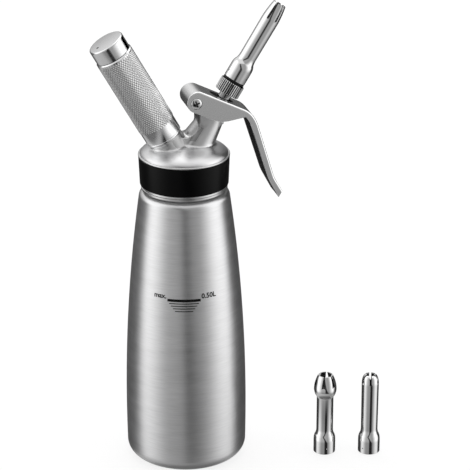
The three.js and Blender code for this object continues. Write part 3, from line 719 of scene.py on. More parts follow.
def redress(piece: Piece, finish: Finish, chosen: FaceTest, axis: Axis = UP) -> None:
    """Give some faces of a dressed piece another finish.

    Args:
        piece: The piece.
        finish: The other finish.
        chosen: Test of a face's middle, in millimetres, and its normal, both in the axis frame.
        axis: Axis frame of the test and of the finish.
    """
    piece.data.materials.append(finish.material(axis))
    back = axis.place.inverted()
    straight = back.to_3x3()
    for face in piece.data.polygons:
        if chosen((back @ face.center) / MM, straight @ face.normal):
            face.material_index = len(piece.data.materials) - 1


# Pieces


@dataclass
class Bottle:
    """Spun bottle with a threaded neck and a printed fill mark."""

    belly: float = 40.0
    belly_height: float = 34.0
    shoulder: float = 29.6
    shoulder_height: float = 184.0
    shoulder_round: float = 4.0
    base_round: float = 9.0
    wall: float = 1.5
    base: float = 2.5
    neck: float = 22.8
    neck_length: float = 18.5
    thread_pitch: float = 3.0
    thread_depth: float = 0.9
    thread_turns: int = 4
    mark_height: float = 123.7
    mark_turn: float = -15.0
    word_height: float = 125.2
    word_size: float = 4.6
    word_bold: float = 0.13
    ink: float = 0.06
    ink_proud: float = 0.05

    def side_radius(self) -> float:
        """Give the radius of the side's long arc."""
        rise = self.shoulder_height - self.belly_height
        drop = self.belly - self.shoulder
        return (rise * rise + drop * drop) / (2 * drop)

    def side_at(self, height: float) -> float:
        """Give the side's radius at a height."""
        arc_radius = self.side_radius()
        rise = height - self.belly_height
        return self.belly - arc_radius + math.sqrt(arc_radius**2 - rise**2)

    def side_angle(self, height: float) -> float:
        """Give the arc's angle at a height, in degrees."""
        return math.degrees(math.asin((height - self.belly_height) / self.side_radius()))

    def shoulder_centre(self) -> Point:
        """Give the centre of the shoulder's rounding."""
        angle = self.side_angle(self.shoulder_height)
        return off((self.shoulder, self.shoulder_height), angle, -self.shoulder_round)

    def top(self) -> float:
        """Give the height of the shoulder's top."""
        return self.shoulder_centre()[1] + self.shoulder_round

    def outline(self) -> Outline:
        """Give the wall's section from the base's middle, outside and back inside."""
        big = self.side_radius()
        side = (self.belly - big, self.belly_height)
        angle, low = self.side_angle(self.shoulder_height), self.side_angle(self.base_round)
        foot = off(side, low, big)[0]
        shoulder, top = self.shoulder_centre(), self.top()
        rim = top + self.neck_length
        inner = self.base_round - self.base
        bore = self.neck - self.wall
        return [
            (0, 0.8),
            (foot - self.base_round - 2.5, 0.8),
            (foot - self.base_round - 1.5, 0),
            *arc(foot - self.base_round, self.base_round, self.base_round, -90, 0, 14),
            *arc(*side, big, low, angle, 48)[1:],
            *arc(*shoulder, self.shoulder_round, angle, 90, 10)[1:],
            (self.neck + 0.6, top),
            (self.neck - 0.9, top + 0.5),
            (self.neck - 0.9, rim - 0.4),
            (self.neck - 1.3, rim),
            (bore + 0.3, rim),
            (bore, rim - 0.3),
            (bore, top - self.wall),
            *arc(*shoulder, self.shoulder_round - self.wall, 90, angle, 8),
            *arc(*side, big - self.wall, angle, low, 32)[1:],
            *arc(foot - self.wall - inner, self.base + inner, inner, 0, -90, 10)[1:],
            (0, self.base),
        ]

    def shell(self) -> None:
        """Spin the wall."""
        look = {"steps": 144, "ring": False, "angle": 28}
        piece = turned("Bottle_shell", self.outline(), Body.BOTTLE, BRUSHED, "bottle", **look)
        # The nozzles beside the bottle mirror the side box instead of its wall.
        piece.visible_glossy = False

    def thread(self) -> None:
        """Wind the neck's thread as a screw of one ridge."""
        steps = 48 * self.thread_turns
        root, crest = self.neck - self.thread_depth - 0.15, self.neck - 0.1
        foot = self.top() + 2.6
        ridge = ((root, 0.0), (crest, 0.65), (crest, 1.05), (root, 1.7), (root, 0.0))
        piece = trace("Neck_thread", [Vector((r, 0, foot + z)) for r, z in ridge])
        apply(
            piece,
            "SCREW",
            angle=2 * math.pi * self.thread_turns,
            screw_offset=self.thread_pitch * self.thread_turns * MM,
            steps=steps,
            render_steps=steps,
            use_merge_vertices=True,
            merge_threshold=DOUBLE,
        )
        edit(piece, "DESELECT")
        bpy.ops.mesh.select_non_manifold()
        bpy.ops.mesh.edge_face_add()
        clean()
        shade(piece, 30)
        fit(piece, Body.BOTTLE, TURNED)

    def print_on(self, piece: Piece) -> None:
        """Wrap a flat print of x and z, drawn at y 0, round the wall at the mark's turn."""
        for vertex in piece.data.vertices:
            radius = self.side_at(vertex.co.z / MM) + self.ink_proud - vertex.co.y / MM
            angle = vertex.co.x / MM / self.side_at(self.mark_height)
            angle += math.radians(self.mark_turn)
            vertex.co.x = radius * math.sin(angle) * MM
            vertex.co.y = -radius * math.cos(angle) * MM
        fit(piece, Body.BOTTLE, INK)

    def mark(self) -> None:
        """Print the fill mark: one heavy line over four fine ones, each in narrow facets."""
        halves = (10.9, 9.7, 8.5, 7.1, 5.8)
        heights = (124.2, 122.1, 120.4, 118.7, 116.9)
        for number, (half, height) in enumerate(zip(halves, heights)):
            clear()
            bpy.ops.mesh.primitive_grid_add(x_subdivisions=28, y_subdivisions=2, size=MM)
            piece = called(f"Fill_line_{number}")
            piece.scale = (2 * half, 0.52 if number else 1.75, 1)
            settle(piece)
            place(piece, shift(0, -self.ink / 2, height) @ swing(90))
            edit(piece)
            up = {"value": (0, self.ink * MM, 0)}
            bpy.ops.mesh.extrude_region_move(TRANSFORM_OT_translate=up)
            clean()
            self.print_on(piece)

    def words(self) -> None:
        """Print the generic capacity mark beside the fill line."""
        for name, text, middle in (("Fill_limit", "max.", -16.0), ("Fill_volume", "0.50L", 16.6)):
            clear()
            bpy.ops.object.text_add(location=(0, 0, 0))
            line = bpy.context.object.data
            line.body = text
            line.align_x = "CENTER"
            line.size, line.offset = self.word_size * MM, self.word_bold * MM
            line.extrude = self.ink / 2 * MM
            line.resolution_u = 3
            bpy.ops.object.convert(target="MESH")
            piece = called(name)
            place(piece, shift(middle, 0, self.word_height) @ swing(90))
            apply(piece, "WELD", merge_threshold=DOUBLE)
            self.print_on(piece)

    def build(self) -> None:
        """Make every piece of the bottle."""
        self.shell()
        self.thread()
        self.mark()
        self.words()


@dataclass
class Head:
    """Cast head: cap and dome, charger port, valve tower, bridge and pivot ear."""

    rim_bottom: float = 189.2
    rim: float = 28.1
    rim_height: float = 2.9
    band_height: float = 19.4
    band_bottom: float = 28.8
    band_top: float = 29.5
    band_thick: float = 1.9
    lip: float = 29.7
    lip_height: float = 1.1
    lip_width: float = 1.1
    dome: float = 7.3
    ceiling: float = 5.0
    gap: float = 0.3
    port: float = 11.2
    port_top: float = 26.2
    spigot: float = 9.3
    spigot_length: float = 10.6
    port_bore: float = 5.0
    port_floor: float = 16.0
    tower_foot: float = 12.0
    tower_waist: float = 22.0
    tower_top: float = 38.5
    ear: float = 4.9
    bridge: float = 14.8
    voxel: float = 0.4
    neck: float = 22.8
    neck_gap: float = 0.4
    neck_top: float = 206.0

    def levels(self) -> tuple[float, float, float]:
        """Give the heights of the rim's top, the band's top and the lip's top."""
        rim_top = self.rim_bottom + self.rim_height
        band_top = rim_top + self.band_height
        return rim_top, band_top, band_top + self.lip_height

    def cap(self) -> None:
        """Spin the cap's wall: rim, band seat and lip."""
        rim_top, band_top, lip_top = self.levels()
        seat = self.band_bottom - self.band_thick - self.gap
        inner = self.neck + self.neck_gap
        edge = 0.45
        outline = [
            (inner, self.rim_bottom),
            *arc(self.rim - edge, self.rim_bottom + edge, edge, -90, 0, 5),
            (self.rim, self.rim_bottom + 1.5),
            (self.rim - 0.35, self.rim_bottom + 1.75),
            (self.rim - 0.35, rim_top),
            (seat, rim_top),
            (seat, band_top),
            *arc(self.lip - edge, band_top + edge, edge, -90, 0, 5),
            *arc(self.lip - edge, lip_top - edge, edge, 0, 90, 5),
            (self.lip - self.lip_width - 0.4, lip_top - 0.1),
            (inner, lip_top - 0.1),
        ]
        turned("Head_cap", outline, Body.HEAD, CAST, "head_body", steps=144)

    def dome_body(self) -> Piece:
        """Spin the dome above the cap's wall, with a spare foot to trim."""
        lip_top = self.levels()[2]
        edge = self.lip - self.lip_width
        outline = [(0, lip_top - 3), (edge, lip_top - 3)]
        outline += oval(0, lip_top, edge, self.dome, 0, 90, 36)
        return lathe("Head_casting", outline, steps=144)

    def inside(self) -> Piece:
        """Spin the cap's hollow."""
        inner, ceiling = self.neck + self.neck_gap, 20.2
        foot, seat = self.rim_bottom - 1, self.neck_top + 2.4
        top = self.levels()[2] + self.dome - self.ceiling
        outline = [
            (0, foot),
            (inner, foot),
            (inner, seat),
            *oval(0, seat, ceiling, top - seat, 0, 90, 16),
        ]
        return lathe("Cap_hollow", outline)

    def posts(self) -> list[Piece]:
        """Make the charger port, the valve tower and the bridge between them."""
        spigot_top = self.port_top + self.spigot_length
        port = [
            (0, 8),
            (self.port, 8),
            (self.port, self.port_top - 0.7),
            (self.port - 0.7, self.port_top),
            (self.spigot, self.port_top),
            (self.spigot, spigot_top - 0.8),
            (self.spigot - 0.8, spigot_top),
            (0, spigot_top),
        ]
        tower = [
            (0, self.tower_foot),
            (12, self.tower_foot),
            *bend((12, 12), (10.1, 22), (9.2, 28), 8),
            (7.6, self.tower_top - 0.6),
            (7.0, self.tower_top),
            (0, self.tower_top),
        ]
        return [lathe("Port", port, HOLDER.place), lathe("Tower", tower, VALVE.place), self.web()]

    def web(self) -> Piece:
        """Make the bridge with its rounded ear and hollow flank."""
        flank, hollow = PIVOT_X + 2.6, 9.2
        saddle, foot = PIVOT_Z - 23.2, PIVOT_Z - 34
        waist = VALVE.place @ Vector((0, 0, self.tower_waist * MM))
        crown = VALVE.place @ Vector((-7.0 * MM, 0, (self.tower_top - 0.6) * MM))
        outline = [
            *arc(PIVOT_X + 1.2, PIVOT_Z + 0.67, self.ear, 0, 209.3, 28),
            (flank, PIVOT_Z - 8.4),
            *arc(flank - hollow, saddle + hollow, hollow, 0, -90, 18),
            (-6, saddle),
            (-6, foot),
            (waist.x / MM, foot),
            (waist.x / MM, waist.z / MM),
            (crown.x / MM + 11, crown.z / MM - 8),
            (crown.x / MM + 1, crown.z / MM),
        ]
        return plate("Bridge", outline, self.bridge)

    def bores(self) -> list[Piece]:
        """Make the cutters of every bore in the posts."""
        return [
            rod("Spring_bore", 5.9, 19.2, self.tower_top + 1, VALVE.place),
            rod("Land_bore", 4.4, 8.5, self.tower_top, VALVE.place),
            rod("Flow_bore", 5.2, 7.5, 15, VALVE.place),
            rod("Port_bore", self.port_bore, self.port_floor, 40, HOLDER.place),
            rod("Gas_bore", 1.5, 8, 17, HOLDER.place, 16),
            rod("Pivot_bore", 2.3, -15, 15, SCREW.place),
        ]

    def casting(self) -> None:
        """Join the posts to the dome as one casting with filleted roots."""
        piece = merge(self.dome_body(), self.posts(), "UNION")
        merge(piece, [self.inside(), *self.bores()])
        form = piece.copy()
        form.data = piece.data.copy()
        bpy.context.scene.collection.objects.link(form)
        apply(piece, "REMESH", mode="VOXEL", voxel_size=self.voxel * MM)
        self.fillet(piece)
        apply(piece, "SHRINKWRAP", target=form, wrap_mode="OUTSIDE")
        bpy.data.objects.remove(form)
        self.trim(piece)
        shade(piece, 60)
        fit(piece, Body.HEAD, CAST)
        redress(piece, SPUN, self.on_dome, Axis(HERE, "_dome"))
        # Painted shade on the hollow flank and the port's wall.
        redress(piece, SADDLE_PAINTED_SHADE, self.in_saddle)

    def on_dome(self, middle: Vector, normal: Vector) -> bool:
        """Tell whether a face belongs to the dome between the posts' roots."""
        reach = middle.xy.length / (self.lip - self.lip_width)
        height = self.levels()[2] + self.dome * math.sqrt(max(0.0, 1 - reach * reach))
        return abs(middle.z - height) < 0.25 and normal.z > 0

    def in_saddle(self, middle: Vector, normal: Vector) -> bool:
        """Tell if a face gets painted shade: the hollow flank or the port's wall beside it."""
        spot = HOLDER.place.inverted() @ (middle * MM) / MM
        port = spot.xy.length < self.port + 1.5 and spot.z < self.port_top and normal.x > 0.15
        between = -6 < middle.x < 11 and 223 < middle.z < 244
        return (between and normal.x < -0.3) or (port and middle.y < 0)

    def trim(self, piece: Piece) -> None:
        """Cut the spare foot off level with the cap's wall."""
        edit(piece)
        height = (self.levels()[2] - 0.08) * MM
        down = (0, 0, -1)
        bpy.ops.mesh.bisect(plane_co=(0, 0, height), plane_no=down, use_fill=True, clear_outer=True)
        clean()

    def fillet(self, piece: Piece) -> None:
        """Smooth the roots of the posts and leave the bores and the machined edges sharp."""
        to_holder, to_valve = HOLDER.place.inverted(), VALVE.place.inverted()
        saddle, ear_foot = 226, PIVOT_Z - 9
        to_port, to_tower = 7.5, 6.3  # Radii within which the walls of the bores lie.
        roots = piece.vertex_groups.new(name="Roots")
        machined = piece.vertex_groups.new(name="Machined")
        for vertex in piece.data.vertices:
            spot = vertex.co / MM
            on_holder, on_valve = to_holder @ vertex.co / MM, to_valve @ vertex.co / MM
            bored = on_holder.xy.length < to_port or on_valve.xy.length < to_tower
            if bored and spot.z < ear_foot:
                continue
            sharp = (
                spot.z < self.levels()[2] + 0.5
                or (on_holder.z > self.port_top - 1.8 and spot.x < -2)
                or on_valve.z > self.tower_top - 2.5
                or spot.z > ear_foot
                or (abs(spot.y) > self.bridge / 2 - 1 and spot.z > saddle and spot.x < 9.5)
            )
            (machined if sharp else roots).add([vertex.index], 1.0, "REPLACE")
        for group, rounds in (("Roots", 110), ("Machined", 3)):
            apply(piece, "SMOOTH", factor=0.5, iterations=rounds, vertex_group=group)

    def band(self) -> None:
        """Spin the silicone band with softly rounded edges."""
        rim_top, band_top, _ = self.levels()
        foot, top = rim_top + self.gap, band_top - self.gap
        inner = self.band_bottom - self.band_thick
        edge = 0.6
        outline = [
            (inner, foot),
            *arc(self.band_bottom - edge, foot + edge, edge, -90, 0, 6),
            *arc(self.band_top - edge, top - edge, edge, 0, 90, 6),
            (inner, top),
        ]
        look = {"steps": 144, "angle": 40}
        turned("Silicone_band", outline, Body.HEAD, SILICONE, "silicone_band", **look)

    def build(self) -> None:
        """Make every piece of the head."""
        self.cap()
        self.casting()
        self.band()


@dataclass
class Holder:
    """Charger holder: sleeve with a diamond knurl, plain skirt and end cap."""

    foot: float = 26.5
    skirt: float = 12.0
    skirt_length: float = 10.2
    skirt_bore: float = 9.7
    bore: float = 9.45
    knurl: float = 12.45
    knurl_length: float = 55.3
    columns: int = 50
    rows: int = 23
    knurl_depth: float = 0.28
    collar: float = 1.0
    cap: float = 11.7
    cap_height: float = 9.9
    cap_seat: float = 10.65
    vent: float = 0.85
    vent_reach: float = 6.3
    vent_turn: float = 195.5

    def sleeve(self) -> None:
        """Spin the sleeve's bore, skirt and knurl bed."""
        start = self.foot + self.skirt_length
        top = start + self.knurl_length
        bed, crest = self.knurl - self.knurl_depth, self.knurl - 0.1
        outline = [
            (self.skirt_bore, self.foot),
            (self.skirt - 0.5, self.foot),
            (self.skirt, self.foot + 0.5),
            (self.skirt, self.foot + 1.2),
            (self.skirt - 0.25, self.foot + 1.45),
            (self.skirt, self.foot + 1.7),
            (self.skirt, start - 0.45),
            (bed, start - 0.1),
            (bed, top - self.collar),
            (crest, top - self.collar + 0.3),
            (crest, top - 0.6),
            (self.knurl - 0.8, top + 0.1),
            (self.cap_seat, top + 0.1),
            (self.cap_seat, top - 6.3),
            (self.bore, top - 6.3),
            (self.bore, 37.35),
            (self.skirt_bore, 37.1),
        ]
        turned("Holder_sleeve", outline, Body.HOLDER, TURNED, "charger_holder", HOLDER)

    @staticmethod
    def pick_outer(piece: Piece) -> None:
        """Select the four-sided faces of the outer wall, in edit mode."""
        bpy.ops.mesh.select_all(action="DESELECT")
        bpy.ops.mesh.select_mode(type="FACE")
        mesh = bmesh.from_edit_mesh(piece.data)
        for face in mesh.faces:
            outward = face.normal.xy.dot(face.calc_center_median().xy)
            face.select = outward > 0 and abs(face.normal.z) < 0.3 and len(face.verts) == 4
        bmesh.update_edit_mesh(piece.data)

    def diamonds(self) -> None:
        """Press the diamond knurl: a diamond net with each face raised to a point."""
        start = self.foot + self.skirt_length + 0.15
        height = self.knurl_length - self.collar - 0.15
        bed = self.knurl - self.knurl_depth
        outline = [
            (bed - 0.4, start),
            *[(bed, start + height / self.rows * row) for row in range(self.rows + 1)],
            (bed - 0.4, start + height),
        ]
        piece = lathe("Holder_knurl", outline, steps=self.columns, ring=True)
        corners = len(piece.data.vertices)
        edit(piece)
        self.pick_outer(piece)
        bpy.ops.mesh.poke()
        bpy.ops.mesh.select_all(action="DESELECT")
        bpy.ops.mesh.select_mode(type="EDGE")
        mesh = bmesh.from_edit_mesh(piece.data)
        for edge in mesh.edges:
            old = all(vertex.index < corners for vertex in edge.verts)
            edge.select = old and all(len(face.verts) == 3 for face in edge.link_faces)
        bmesh.update_edit_mesh(piece.data)
        bpy.ops.mesh.dissolve_edges(use_verts=False)
        self.pick_outer(piece)
        bpy.ops.mesh.poke(offset=self.knurl_depth * MM)
        bpy.ops.object.mode_set(mode="OBJECT")
        place(piece, HOLDER.place)
        fit(piece, Body.HOLDER, KNURL, HOLDER)

    def end_cap(self) -> None:
        """Spin the end cap and drill its vent."""
        foot = self.foot + self.skirt_length + self.knurl_length + 0.3
        top = foot + self.cap_height
        wall, edge = self.bore + 0.9, 1.1
        outline = [
            (0, top - 4),
            (self.bore, top - 4),
            (self.bore, foot - 6),
            (wall, foot - 6),
            (wall, foot),
            (self.cap - 0.25, foot),
            (self.cap, foot + 0.25),
            *arc(self.cap - edge, top - edge, edge, 0, 90, 10),
            (0, top),
        ]
        piece = lathe("Holder_end_cap", outline)
        hole = off((0, 0), self.vent_turn, self.vent_reach)
        merge(piece, [rod("Vent", self.vent, top - 5, top + 1, shift(*hole), 24)])
        place(piece, HOLDER.place)
        shade(piece, 30)
        fit(piece, Body.HOLDER, TURNED, HOLDER, "holder_end_cap")

        def in_vent(middle: Vector, normal: Vector) -> bool:
            """Tell whether a face belongs to the vent."""
            return (middle.xy - Vector(hole)).length < self.vent + 0.02 and normal.z < 0.5

        # Painted shade inside the vent.
        redress(piece, RECESS_PAINTED_SHADE, in_vent, HOLDER)

    def build(self) -> None:
        """Make every piece of the holder."""
        self.sleeve()
        self.diamonds()
        self.end_cap()


@dataclass
class Lever:
    """Cast channel lever with a slotted top, deep cheeks and a kicked-out tip."""

    width: float = 20.8
    cheek: float = 1.9
    wall: float = 1.8
    slope: float = 26.5
    top: float = 8.3
    nose: float = 7.2
    forward: float = 1.2
    opening: float = 232.0
    belly: float = 14.3
    belly_reach: float = 16.3
    belly_blend: float = 6.0
    join_x: float = 32.3
    join_depth: float = 11.8
    handle_x: float = 38.5
    handle_bend: float = 7.2
    handle_lean: float = 16.5
    handle_length: float = 47.5
    flange: float = 4.1
    tip_lean: float = 30.0
    tip_length: float = 10.6
    tip_depth: float = 4.3
    tip_slant: float = 2.6
    tip_blend: float = 3.0
    slot_start: float = 8.5
    slot_length: float = 17.0
    slot_width: float = 10.4
    edge: float = 2.6
    lower_edge: float = 0.6
    pivot_hole: float = 2.3
    screw_head: float = 3.5
    head_gap: float = 0.25
    head_sunk: float = 1.3
    head_proud: float = 0.5

    def nose_centre(self) -> Point:
        """Give the nose's centre, seen from the pivot."""
        slope = math.radians(self.slope)
        rise = (self.top - self.nose - self.forward * math.sin(slope)) / math.cos(slope)
        return self.forward, rise

    def corner(self, inset: float) -> Point:
        """Give the point where the top line meets the handle's line, lowered by a wall."""
        slope, lean = math.radians(self.slope), math.radians(self.handle_lean)
        height = (self.top - inset - self.handle_x * math.sin(slope)) / math.cos(slope)
        outer = (self.top - self.handle_x * math.sin(slope)) / math.cos(slope)
        slip = (inset - (outer - height) * math.sin(lean)) / (
            math.cos(lean) + math.tan(slope) * math.sin(lean)
        )
        return self.handle_x - slip, height + slip * math.tan(slope)

    def spine(self, inset: float) -> Outline:
        """Give the upper line from the back of the nose to the tip, lowered by a wall."""
        corner = self.corner(inset)
        down, out = self.handle_lean - 90, self.tip_lean - 90
        before = off(corner, 180 - self.slope, self.handle_bend)
        knee = off(corner, down, self.handle_length)
        radius = self.nose - inset
        return [
            *arc(*self.nose_centre(), radius, self.opening, 90 - self.slope, 28),
            *bend(before, corner, off(corner, down, 1.4 * self.handle_bend), 14),
            *bend(off(knee, down, -self.tip_blend), knee, off(knee, out, self.tip_blend), 8),
            off(knee, out, self.tip_length),
        ]

    def outline(self) -> Outline:
        """Give the side view's outline."""
        spine = self.spine(0)
        knee = off(self.corner(0), self.handle_lean - 90, self.handle_length)
        inner = self.flange / math.cos(math.radians(self.handle_lean))
        inside_knee = (knee[0] - inner, knee[1])
        foot = off(spine[-1], self.tip_lean, -self.tip_depth)
        foot = off(foot, self.tip_lean - 90, self.tip_slant)
        upper = (self.handle_x - inner + self.flange / 4, -self.join_depth - self.flange)
        before = towards(inside_knee, upper, self.tip_blend)
        after = towards(inside_knee, foot, self.tip_blend)
        join = (self.join_x, -self.join_depth)
        reach, blend = self.belly_reach, self.belly_blend
        rise = blend * math.sin(math.radians(self.slope))
        belly = bend(
            (reach - blend, rise - self.belly),
            (reach, -self.belly),
            (reach + blend, blend / 6 - self.belly),
            12,
        )
        return [
            *spine,
            foot,
            *bend(after, inside_knee, before, 8),
            *bend(upper, (join[0] + 1.2, join[1] - 0.8), join, 8),
            *reversed(belly),
        ]

    def hollow(self) -> Piece:
        """Make the channel's cutter."""
        channel = self.spine(self.wall)
        beyond = towards(channel[-1], channel[-2], -2)
        outline = [
            *channel,
            beyond,
            (channel[-1][0] - self.handle_x, beyond[1]),
            (self.forward - self.handle_x, -2 * self.belly),
            off(self.nose_centre(), self.opening, self.nose + 1),
        ]
        return plate("Channel", outline, self.width - 2 * self.cheek)

    def slot(self) -> Piece:
        """Make the cutter of the slot that the stem passes."""
        half = self.slot_width / 2
        low, high = self.slot_start + half, self.slot_start + self.slot_length - half
        outline = [*arc(low, 0, half, 90, 270, 16), *arc(high, 0, half, -90, 90, 16)]
        return plate("Slot", outline, 12, swing(self.slope, "Y") @ shift(z=self.top) @ swing(90))

    def round_edges(self, piece: Piece) -> None:
        """Round the outline's edges: widely along the upper line, slightly elsewhere.

        The wide rounding grows out of the slight one over the nose.

        Args:
            piece: The lever's block.
        """
        upper = [Vector((x, 0, z)) * MM for x, z in self.spine(0)]
        slight = self.lower_edge / self.edge
        first, last = 13, 26  # Facets of the upper line between which the rounding grows.
        shares: dict[float, list[int]] = {}
        for edge in piece.data.edges:
            one, two = (piece.data.vertices[index].co for index in edge.vertices)
            if abs(one.y - two.y) > 0.1 * MM:
                continue
            middle = (one + two) / 2 * Vector((1, 0, 1))
            spans = [(middle - (a + b) / 2).length for a, b in zip(upper, upper[1:])]
            number = spans.index(min(spans)) if min(spans) < 0.01 * MM else 0
            share = min(1.0, max(0.0, (number - first) / (last - first)))
            shares.setdefault(slight + (1 - slight) * share, []).append(edge.index)
        edit(piece)
        bpy.ops.mesh.select_mode(type="EDGE")
        for weight, chosen in shares.items():
            mesh = bmesh.from_edit_mesh(piece.data)
            for edge in mesh.edges:
                edge.select = edge.index in chosen
            bmesh.update_edit_mesh(piece.data)
            bpy.ops.transform.edge_bevelweight(value=weight)
        apply(piece, "BEVEL", width=self.edge * MM, segments=6, limit_method="WEIGHT")

    def seats(self) -> tuple[float, float, float]:
        """Give the levels of a screw head's face and underside and of a cheek's inner face."""
        face = self.width / 2 + self.head_proud
        return face, face - self.head_sunk, self.width / 2 - self.cheek

    def casting(self) -> None:
        """Extrude the side view, round its edges and hollow it."""
        piece = plate("Lever_casting", self.outline(), self.width)
        self.round_edges(piece)
        across, depth = swing(90), self.seats()[1] - 0.3
        seat, end = self.screw_head + self.head_gap, self.width
        cutters = [
            self.hollow(),
            self.slot(),
            rod("Pivot_hole", self.pivot_hole, -end, end, across),
            rod("Near_seat", seat, depth, end, across),
            rod("Far_seat", seat, -end, -depth, across),
        ]
        merge(piece, cutters)
        place(piece, PIVOT.place)
        shade(piece, 30)
        apply(piece, "WEIGHTED_NORMAL", keep_sharp=True)
        # Painted light: the lever takes the lighter copy of the cast finish.
        fit(piece, Body.LEVER, LEVER_PAINTED_LIGHT, node="lever")
        # Painted shade inside the channel and the slot.
        redress(piece, RECESS_PAINTED_SHADE, self.within, PIVOT)

    def within(self, middle: Vector, normal: Vector) -> bool:
        """Tell whether a face lies inside the channel or the slot."""
        if abs(middle.y) > self.width / 2 - self.cheek + 0.05:
            return False
        if abs(normal.y) > 0.7:
            return normal.y * middle.y < 0
        x, z = self.nose_centre()
        if middle.x < x + 2:
            return normal.dot(Vector((middle.x - x, 0, middle.z - z))) < 0
        return normal.x + normal.z < 0.5

    def screw(self) -> None:
        """Turn the pivot screw and cut its cross recess."""
        face, under, inner = self.seats()
        head, shank = self.screw_head, 1.1
        outline = [
            (0, -inner),
            (shank, -inner),
            (shank, under),
            (head - 0.1, under),
            (head, under + 0.15),
            (head, face - 0.6),
            *bend((head, face - 0.6), (head - 0.3, face + 0.15), (0, face + 0.3), 10)[1:],
        ]
        piece = lathe("Pivot_screw_head", outline, steps=64)
        reach, deep, wide = 2.2, 1.3, 1.05
        bar = [(-reach, -deep), (reach, -deep), (reach, deep), (-reach, deep)]
        turns = (shift(z=face) @ swing(degrees, "Z") for degrees in (20, 110))
        merge(piece, [plate("Bar", bar, wide, turn) for turn in turns])
        place(piece, SCREW.place)
        shade(piece, 35)
        fit(piece, Body.LEVER, STEEL, node="pivot_screw")

        def in_recess(middle: Vector, normal: Vector) -> bool:
            """Tell whether a face belongs to the recess or the shank."""
            return middle.xy.length < 2.4 and normal.z < 0.6 or middle.z < face - 1

        # Painted shade in the cross recess and on the shank.
        redress(piece, RECESS_PAINTED_SHADE, in_recess, SCREW)

    def sleeve(self) -> None:
        """Turn the sleeve nut in the far cheek."""
        face, under, inner = self.seats()
        head, bore, tube = self.screw_head, 1.4, 2.0
        outline = [
            (0, inner + 0.3),
            (bore, inner + 0.3),
            (bore, -inner - 0.475),
            (tube, -inner - 0.475),
            (tube, under),
            (head, under),
            (head, face - 0.5),
            *bend((head, face - 0.5), (head - 0.2, face), (head - 1.0, face), 6)[1:],
            (0, face),
        ]
        piece = lathe("Pivot_sleeve_nut", outline, PIVOT.place @ swing(-90), 64)
        shade(piece, 35)
        fit(piece, Body.LEVER, STEEL, node="pivot_sleeve")

    def build(self) -> None:
        """Make every piece of the lever."""
        self.casting()
        self.screw()
        self.sleeve()


@dataclass
class Valve:
    """Stem and adapter ring on the valve's axis."""

    stem: float = 4.0
    stem_bore: float = 2.2
    stem_foot: float = 3.6
    stem_floor: float = 8.5
    stem_top: float = 60.0
    ring_foot: float = 53.8
    ring_height: float = 8.5
    ring: float = 8.25
    ribs: int = 36
    rib_depth: float = 0.62
    spigot: float = 6.1
    spigot_length: float = 8.5

    def stem_tube(self) -> None:
        """Spin the hollow stem with the groove of its O-ring."""
        groove, low, high = 3.1, 17.7, 19.3
        outline = [
            (0, self.stem_foot),
            (self.stem, self.stem_foot),
            (self.stem, low),
            (groove, low),
            (groove, high),
            (self.stem, high),
            (self.stem, self.stem_top - 0.3),
            (self.stem - 0.3, self.stem_top),
            (self.stem_bore, self.stem_top),
            (self.stem_bore, self.stem_floor),
            (0, self.stem_floor),
        ]
        look = {"steps": 64, "ring": False, "angle": 35}
        # Painted shade: the stem takes the dark copy of the polished steel.
        turned("Valve_stem_tube", outline, Body.VALVE, STEM_PAINTED_SHADE, "valve_stem", VALVE, **look)

    def adapter(self) -> None:
        """Cut the ribbed adapter ring with its threaded spigot."""
        foot, top = self.ring_foot, self.ring_foot + self.ring_height
        spigot_top = top + self.spigot_length
        root, crest = self.ring - self.rib_depth, self.ring + 0.05
        shares = ((0.0, root), (0.4, self.ring), (0.6, self.ring))
        star = [
            off((0, 0), (rib + share) * 360 / self.ribs, radius)
            for rib in range(self.ribs)
            for share, radius in shares
        ]
        lying = shift(z=foot + self.ring_height / 2) @ swing(90)
        piece = plate("Adapter_grip", star, self.ring_height + 2, lying)
        envelope = [
            (0, foot),
            (self.ring - 0.35, foot),
            (crest, foot + 0.4),
            (crest, top - 0.7),
            (self.ring - 0.8, top),
            (0, top),
        ]
        merge(piece, [lathe("Envelope", envelope)], "INTERSECT")
        merge(piece, [rod("Spigot", self.spigot, top - 1, spigot_top)], "UNION")
        seat = rod("Stem_seat", self.stem + 0.3, foot - 1, self.stem_top + 0.3)
        merge(piece, [seat, rod("Flow", 3.0, foot, spigot_top + 1)])
        place(piece, VALVE.place)
        shade(piece, 25)
        fit(piece, Body.ADAPTER, RIBBED, VALVE, "adapter_ring")

    def seal(self) -> None:
        """Spin the round ring under the nozzle."""
        foot = self.ring_foot + self.ring_height + 0.15
        inner, outer, wire = 6.4, 7.3, 0.62
        outline = [
            (inner, foot + 0.1),
            *arc(outer - wire, foot + wire, wire, -90, 90, 10),
            (inner, foot + 2 * wire - 0.1),
        ]
        look = {"steps": 72, "angle": 50}
        turned("Adapter_seal_ring", outline, Body.ADAPTER, RUBBER, "adapter_seal", VALVE, **look)

    def build(self) -> None:
        """Make every piece of the valve."""
        self.stem_tube()
        self.adapter()
        self.seal()


